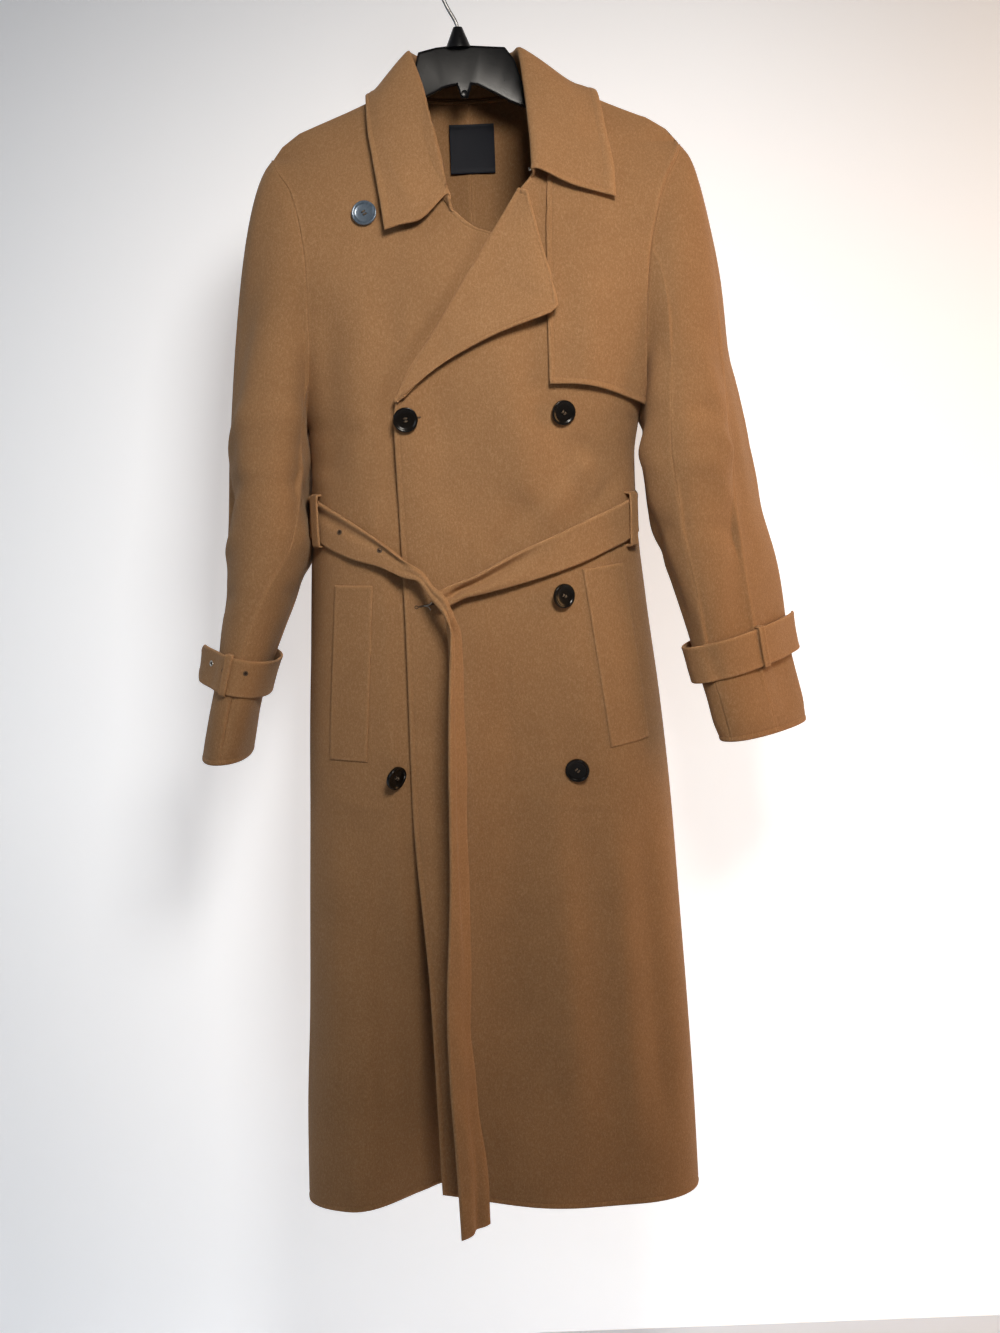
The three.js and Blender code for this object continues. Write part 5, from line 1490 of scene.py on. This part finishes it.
BLACK_HORN = polished_material("button black", (0.004, 0.0033, 0.0028), (0.008, 0.006, 0.0045), 0.16, 0.0)
BLACK_HORN.node_tree.nodes["Principled BSDF"].inputs["Specular IOR Level"].default_value = 0.3
# Painted reflection: the shoulder button's blue-grey stands in for the light it reflects; the button
# itself is black.
SHOULDER_BUTTON_GLARE = polished_material("shoulder button, painted glare", (0.055, 0.08, 0.115), (0.16, 0.2, 0.25), 0.2, 0.4)
SHOULDER_BUTTON_GLARE.node_tree.nodes["Principled BSDF"].inputs["Metallic"].default_value = 0.35
BUTTON_THREAD = thread_material("button thread", (0.16, 0.115, 0.075))
button_shape = button_blank()
thread_shape = thread_blank()


def settle(shape, name, placing, material):
    """A copy of a finished shape with its own mesh, its place moved into that mesh."""
    mesh = shape.data.copy()
    mesh.transform(placing)
    mesh.materials.clear()
    mesh.materials.append(material)
    copy = bpy.data.objects.new(name, mesh)
    bpy.context.scene.collection.objects.link(copy)
    return copy


for name, (x, z, shank, thread_turn, tip_axis, tip) in BUTTONS.items():
    under = name == "button_low_right"
    seat = on_cloth(front_right if under or name == "button_shoulder" else front_left, x, z, shank)
    form = under_depth if under else body_depth
    normal = Vector(body_normal(np.array(float(x)), np.array(float(z)), -1, form))
    turn = normal.to_track_quat("Z", "Y").to_matrix().to_4x4()
    lean_about = (math.cos(math.radians(tip_axis)), math.sin(math.radians(tip_axis)), 0)
    tipped = Matrix.Rotation(math.radians(tip), 4, Vector(lean_about))
    placing = Matrix.Translation(seat) @ turn @ tipped @ Matrix.Rotation(math.radians(thread_turn), 4, "Z")
    # The shoulder button takes the painted reflection.
    painted_glare = name == "button_shoulder"
    face = settle(button_shape, f"{name}_face", placing, SHOULDER_BUTTON_GLARE if painted_glare else BLACK_HORN)
    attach(face, "root")
    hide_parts(name)
    thread = settle(thread_shape, f"{name}_thread", placing, BUTTON_THREAD)
    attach(thread, "root")
bpy.data.objects.remove(button_shape)
bpy.data.objects.remove(thread_shape)


# ------------------------------------------------------------------ eyelets
# Small punched holes whipped round with thread, two in the belt's right arm and three in
# the right cuff strap, whose first hole has a plated ring instead.

def hole_shade_material():
    """Painted shade for the inside of a punched hole: near-black, with a few paler loose fibres of the
    wool.
    """
    material, tree, shader = new_material("punched hole")
    where = node(tree, "ShaderNodeTexCoord").outputs["Object"]
    fibre = node(tree, "ShaderNodeTexNoise", {"Vector": where, "Scale": 1700.0, "Detail": 3.0})
    two_tones(tree, shader, fibre, (0.006, 0.004, 0.0025, 1), (0.045, 0.025, 0.012, 1))
    shader.inputs["Roughness"].default_value = 0.95
    return material


PAINTED_HOLE_SHADE = hole_shade_material()
HOLE_THREAD = thread_material("buttonhole thread", (0.11, 0.06, 0.03))
EYELETS = (
    ("belt_eyelet_1", belt, -139.2, -592.8, 2.3, None), ("belt_eyelet_2", belt, -98.2, -611.5, 2.3, None),
    ("cuff_eyelet_1", right_strap, -280.1, -724.7, 2.6, PLATED),
    ("cuff_eyelet_2", right_strap, -264.5, -729.2, 2.2, None),
    ("cuff_eyelet_3", right_strap, -241.4, -732.6, 2.2, None),
)


def facing_of(cloth, x, z):
    return cloth.ray_cast((x / 1000, -1, z / 1000), (0, 1, 0))[1:3]


for name, cloth, x, z, radius, metal in EYELETS:
    seat, normal = facing_of(cloth, x, z)
    placing = Matrix.Translation(seat) @ normal.to_track_quat("Z", "Y").to_matrix().to_4x4()
    turns = np.radians(np.arange(0, 396, 30))
    rim = bent_wire(
        f"{name}_rim", [(radius * math.cos(a), radius * math.sin(a), 0.15) for a in turns], 0.6,
        metal or HOLE_THREAD,
    )
    rim.data.transform(placing)
    bpy.ops.object.select_all(action="DESELECT")
    # A dark disc on the cloth is painted shade in place of the open hole.
    bpy.ops.mesh.primitive_circle_add(vertices=24, radius=(radius - 0.2) / 1000, fill_type="NGON")
    hole_shade_disc = bpy.context.object
    hole_shade_disc.name = f"{name}_hole"
    bpy.ops.object.mode_set(mode="EDIT")
    bpy.ops.mesh.select_all(action="SELECT")
    bpy.ops.mesh.extrude_region_move(TRANSFORM_OT_translate={"value": (0, 0, 0.0003)})
    bpy.ops.mesh.inset(thickness=0.0005)
    bpy.ops.transform.translate(value=(0, 0, -0.0002))
    bpy.ops.mesh.select_all(action="SELECT")
    bpy.ops.mesh.normals_make_consistent(inside=False)
    bpy.ops.object.mode_set(mode="OBJECT")
    hole_shade_disc.data.transform(placing)
    hole_shade_disc.data.materials.append(PAINTED_HOLE_SHADE)
    for trim in (rim, hole_shade_disc):
        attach(trim, "root")


# ------------------------------------------------------------------ buttonholes
# Keyhole buttonholes in the over front, whipped round in brown thread.
# The one below the belt's crossing is empty, and its thread ends have frayed.

FRAYED_THREAD = thread_material("frayed thread", (0.55, 0.5, 0.42))
KEYHOLES = {"top": (-62, -481, 15, 8), "middle": (-55, -669.5, 15, 10)}  # x, z, length, tilt
SLIT_HALF, EYE_RADIUS = 0.45, 1.5
WHIPPING_RADIUS, FRAYED_RADIUS = 0.55, 0.5
FRAYED_ENDS = (                # x, z and height off the front, along each loose end
    (
        (-56, -669.6, 0.4), (-53, -669.4, 0.9), (-50.4, -668.9, 1.5), (-48.6, -667.6, 2.1),
        (-47.6, -665.8, 2.4),
    ),
    (
        (-55, -669.9, 0.4), (-52, -670.2, 1.0), (-50.4, -671.2, 1.7), (-49.6, -672.8, 2.0),
        (-49.2, -674.2, 1.8),
    ),
)


def keyhole_outline(length):
    """Outline of a slit with a round eye at its outer end, in millimetres about its middle."""
    straight = [(x, SLIT_HALF) for x in np.linspace(length * 0.75, -length * 0.45, 9)]
    eye = [
        (-length * 0.58 + EYE_RADIUS * math.cos(a), EYE_RADIUS * math.sin(a))
        for a in np.radians(np.linspace(40, 320, 11))
    ]
    back = [(x, -SLIT_HALF) for x in np.linspace(-length * 0.45, length * 0.75, 9)]
    return straight + eye + back


for label, (x, z, length, tilt) in KEYHOLES.items():
    lean = math.radians(tilt)
    ring = []
    for along, aside in keyhole_outline(length):
        at_x = x + along * math.cos(lean) - aside * math.sin(lean)
        at_z = z + along * math.sin(lean) + aside * math.cos(lean)
        ring.append(on_cloth(front_left, at_x, at_z, 0.1) * 1000)
    whipping = bent_wire(f"buttonhole_{label}", ring + ring[:1], WHIPPING_RADIUS, HOLE_THREAD)
    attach(whipping, "root")

for count, strand in enumerate(FRAYED_ENDS, 1):
    points = [on_cloth(front_left, x, z, out) * 1000 for x, z, out in strand]
    frayed = bent_wire(f"frayed_thread_{count}", points, FRAYED_RADIUS, FRAYED_THREAD)
    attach(frayed, "root")


# ------------------------------------------------------------------ hanger
# A moulded plastic hanger: a short neck and cross bar, two arched arms with a raised rim
# along their edges, and a hanging tab below. A plated steel hook is screwed into the neck.

HANGER_THICK = 8.0
HANGER_STATIONS = (
    ((-171, -208), (-172, -218)), ((-157, -196), (-156, -206)), ((-124, -183), (-124, -192)),
    ((-84, -168), (-80, -178)), ((-60, -158), (-60, -171)), ((-48, -142), (-33, -158)),
    ((-40, -114), (-16, -150)), ((-22, -110), (-8, -148)), ((-9, -109), (-2, -147)),
    ((11, -109), (13, -147)), ((23, -110), (19, -148)), ((48, -112), (38, -158)),
    ((57, -124), (50, -165)), ((64, -146), (66, -172)), ((76, -159), (80, -178)),
    ((100, -167), (95, -183)), ((140, -181), (138, -196)), ((187, -198), (182, -211)),
    ((202, -210), (197, -220)),
)
TAB_FACE = 8
NECK_CONE = {"x": 1, "low": -111, "top": -90, "wide": 13.0, "narrow": 4.4}
TAB_BOSS = {"x": 5.5, "z": -156, "radius": 3.4}


def moulded_material():
    """Glossy black moulding: faint flow marks, a fine mould texture and light scuffs."""
    material, tree, shader = new_material("hanger plastic")
    where = node(tree, "ShaderNodeTexCoord").outputs["Object"]
    flow = node(
        tree, "ShaderNodeTexNoise", {"Vector": where, "Scale": 22.0, "Detail": 4.0, "Distortion": 1.0}
    )
    two_tones(tree, shader, flow, (0.003, 0.003, 0.0035, 1), (0.009, 0.009, 0.010, 1))
    scuff = node(tree, "ShaderNodeTexNoise", {"Vector": where, "Scale": 420.0, "Detail": 4.0})
    rough = node(tree, "ShaderNodeMapRange", {"Value": scuff.outputs[0], 3: 0.22, 4: 0.4})
    tree.links.new(rough.outputs[0], shader.inputs["Roughness"])
    add_bump(tree, shader, scuff.outputs[0], 0.08, 0.0002)
    shader.inputs["Specular IOR Level"].default_value = 0.28
    return material


bpy.ops.object.select_all(action="DESELECT")
bpy.ops.mesh.primitive_grid_add(x_subdivisions=len(HANGER_STATIONS) - 1, y_subdivisions=1, size=1)
hanger = bpy.context.object
hanger.name = "hanger_moulding"
in_order = sorted(hanger.data.vertices, key=lambda corner: (round(corner.co.x, 4), -corner.co.y))
for corner, (x, z) in zip(in_order, (end for station in HANGER_STATIONS for end in station)):
    corner.co = (x / 1000, -HANGER_THICK / 2000, z / 1000)
bpy.ops.object.mode_set(mode="EDIT")
bpy.ops.mesh.select_all(action="SELECT")
bpy.ops.mesh.extrude_region_move(TRANSFORM_OT_translate={"value": (0, HANGER_THICK / 1000, 0)})
bpy.ops.mesh.select_all(action="SELECT")
bpy.ops.mesh.normals_make_consistent(inside=False)
tab_middle = (HANGER_STATIONS[TAB_FACE][1][0] + HANGER_STATIONS[TAB_FACE + 1][1][0]) / 2000
pick_faces(
    hanger.data,
    lambda face: face.normal.z < -0.9 and abs(face.calc_center_median().x - tab_middle) < 0.002,
)
bpy.ops.mesh.extrude_region_move(TRANSFORM_OT_translate={"value": (0, 0, -0.0135)})
bpy.ops.transform.resize(value=(0.45, 1, 1))
for facing in (-1, 1):
    pick_faces(hanger.data, lambda face: face.normal.y * facing > 0.9)
    bpy.ops.mesh.inset(thickness=0.0016, use_boundary=True)
    bpy.ops.transform.translate(value=(0, -facing * 0.0016, 0))
bpy.ops.object.mode_set(mode="OBJECT")
bpy.ops.mesh.primitive_cone_add(
    vertices=32, radius1=NECK_CONE["wide"] / 1000, radius2=NECK_CONE["narrow"] / 1000,
    depth=(NECK_CONE["top"] - NECK_CONE["low"]) / 1000,
    location=(NECK_CONE["x"] / 1000, 0, (NECK_CONE["top"] + NECK_CONE["low"]) / 2000),
)
neck = bpy.context.object
bpy.ops.object.transform_apply(location=True)
bpy.ops.object.mode_set(mode="EDIT")
pick_faces(neck.data, lambda face: face.normal.z > 0.9)
bpy.ops.mesh.inset(thickness=0.0012)
bpy.ops.transform.translate(value=(0, 0, -0.0008))
bpy.ops.object.mode_set(mode="OBJECT")
bpy.ops.mesh.primitive_cylinder_add(
    vertices=32, radius=TAB_BOSS["radius"] / 1000, depth=(HANGER_THICK + 1) / 1000,
    location=(TAB_BOSS["x"] / 1000, 0, TAB_BOSS["z"] / 1000), rotation=(math.radians(90), 0, 0),
)
boss = bpy.context.object
bpy.ops.object.transform_apply(location=True, rotation=True)
bpy.ops.object.mode_set(mode="EDIT")
pick_faces(boss.data, lambda face: abs(face.normal.y) > 0.9)
bpy.ops.mesh.inset(thickness=0.0009, use_individual=True)
bpy.ops.transform.resize(value=(1, 0.9, 1))
bpy.ops.object.mode_set(mode="OBJECT")
bpy.ops.object.select_all(action="DESELECT")
for piece in (boss, neck, hanger):
    piece.select_set(True)
bpy.context.view_layer.objects.active = hanger
bpy.ops.object.join()
edges = hanger.modifiers.new("edges", "BEVEL")
edges.width = 0.0007
edges.segments = 3
edges.limit_method = "ANGLE"
edges.angle_limit = math.radians(28)
bpy.ops.object.modifier_apply(modifier="edges")
bpy.ops.object.shade_smooth_by_angle(angle=math.radians(32))
hanger.data.materials.clear()
hanger.data.materials.append(moulded_material())
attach(hanger, "root")
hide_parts("hanger_body")

HOOK_WIRE = 1.9
HOOK_RADIUS = 22.9             # middle of the wire about the crook's centre
HOOK_CENTRE_Z = -21.0
HOOK_STEM = (
    (1, -96), (1, -88.9), (-2, -82), (-11, -68),
    (-HOOK_RADIUS * 0.86, HOOK_CENTRE_Z - HOOK_RADIUS * 0.9),
)

stem = [(x, 0, z) for x, z in HOOK_STEM]
crook = [
    (HOOK_RADIUS * math.cos(turn), 0, HOOK_CENTRE_Z + HOOK_RADIUS * math.sin(turn))
    for turn in np.radians(np.arange(190, -31, -10))
]
HOOK_STEEL = steel_material("hanger steel", (0.28, 0.28, 0.28), 0.34)
hook = bent_wire("hanger_hook_wire", stem + crook, HOOK_WIRE, HOOK_STEEL)
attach(hook, "root")
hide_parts("hanger_hook")


# ------------------------------------------------------------------ studio
# A pale floor, and a pale wall that also glows, a painted light that weakens towards its upper left as
# painted shade; a small warm-white lamp in front, a warm one to the right, a weak cool one to the left,
# and one behind. The world looks pale but gives little light.

CAMERA_PLACE = (0.01908, -2.0, -0.464)
CAMERA_PITCH, CAMERA_ROLL = 82.0, -2.2
LENS = 36 * 1905 / 1333
WALL_Y, FLOOR_Z = 0.24, -1.62


def pale_surface(name, corners, painted_glow, one_sided=False):
    """A pale matt surface that can also glow: painted light, strongest low down and towards +X and weaker
    towards its upper left as painted shade; a one-sided one isn't there when looked at from behind.
    """
    mesh = bpy.data.meshes.new(name)
    mesh.from_pydata(corners, [], [tuple(range(len(corners)))])
    surface = bpy.data.objects.new(name, mesh)
    bpy.context.scene.collection.objects.link(surface)
    material, tree, shader = new_material(name)
    shader.inputs["Base Color"].default_value = (0.82, 0.87, 0.94, 1)
    shader.inputs["Roughness"].default_value = 0.9
    shader.inputs["Emission Color"].default_value = (1, 1, 1, 1)
    where = node(tree, "ShaderNodeSeparateXYZ", {0: node(tree, "ShaderNodeTexCoord").outputs["Object"]})
    lower = node(
        tree, "ShaderNodeMapRange", {"Value": where.outputs["Z"], 1: 0.1, 2: -0.9, 3: 0.34, 4: 1.0}
    )
    farther = node(
        tree, "ShaderNodeMapRange", {"Value": where.outputs["X"], 1: -0.6, 2: 0.3, 3: 0.5, 4: 1.0}
    )
    painted_falloff = node(
        tree, "ShaderNodeMath", {0: lower.outputs[0], 1: farther.outputs[0]}, operation="MULTIPLY"
    )
    strength = node(tree, "ShaderNodeMath", {0: painted_falloff.outputs[0], 1: painted_glow}, operation="MULTIPLY")
    tree.links.new(strength.outputs[0], shader.inputs["Emission Strength"])
    if one_sided:
        behind = node(tree, "ShaderNodeNewGeometry").outputs["Backfacing"]
        mix = node(tree, "ShaderNodeMixShader", {0: behind})
        tree.links.new(shader.outputs[0], mix.inputs[1])
        tree.links.new(node(tree, "ShaderNodeBsdfTransparent").outputs[0], mix.inputs[2])
        tree.links.new(mix.outputs[0], tree.nodes["Material Output"].inputs["Surface"])
    mesh.materials.append(material)


pale_surface("floor", [(-8, -8, FLOOR_Z), (8, -8, FLOOR_Z), (8, 8, FLOOR_Z), (-8, 8, FLOOR_Z)], 0.0)
pale_surface(
    "wall", [(-8, WALL_Y, FLOOR_Z), (8, WALL_Y, FLOOR_Z), (8, WALL_Y, 3), (-8, WALL_Y, 3)], 0.72, True
)


def soft_lamp(name, place, aim, size, power, colour, spread=180):
    light = bpy.data.lights.new(name, "AREA")
    light.shape = "RECTANGLE"
    light.size, light.size_y = size
    light.energy = power
    light.spread = math.radians(spread)
    light.color = colour
    lamp = bpy.data.objects.new(name, light)
    lamp.location = place
    lamp.rotation_euler = (Vector(aim) - Vector(place)).to_track_quat("-Z", "Y").to_euler()
    bpy.context.scene.collection.objects.link(lamp)


soft_lamp("front lamp", (0.3, -1.3, 0.3), (0.02, 0, -0.56), (0.45, 0.35), 3.05, (1.0, 0.94, 0.86), 62)
soft_lamp("warm lamp", (1.5, -0.15, -0.35), (0.1, 0, -0.65), (0.4, 1.0), 9.5, (1.0, 0.56, 0.24))
soft_lamp("cool lamp", (-1.9, -1.0, 0.2), (0, 0, -0.5), (0.8, 1.2), 7, (0.82, 0.91, 1.0))
soft_lamp("back lamp", (-0.8, 2.4, 0.6), (0, 0, -0.6), (1.2, 1.2), 22, (1.0, 0.96, 0.9), 90)
bpy.context.scene.view_settings.view_transform = "Standard"

world = bpy.context.scene.world or bpy.data.worlds.new("studio")
bpy.context.scene.world = world
world.use_nodes = True
world.node_tree.nodes["Background"].inputs["Color"].default_value = (1, 1, 1, 1)
seen = node(world.node_tree, "ShaderNodeLightPath").outputs["Is Camera Ray"]
backdrop = node(world.node_tree, "ShaderNodeMapRange", {"Value": seen, 3: 0.06, 4: 0.6})
world.node_tree.links.new(backdrop.outputs[0], world.node_tree.nodes["Background"].inputs["Strength"])

lens = bpy.data.cameras.new("camera")
lens.sensor_width = 36
lens.lens = LENS
camera = bpy.data.objects.new("camera", lens)
camera.matrix_world = (
    Matrix.Translation(CAMERA_PLACE)
    @ Matrix.Rotation(math.radians(CAMERA_PITCH), 4, "X")
    @ Matrix.Rotation(math.radians(CAMERA_ROLL), 4, "Z")
)
bpy.context.scene.collection.objects.link(camera)
bpy.context.scene.camera = camera
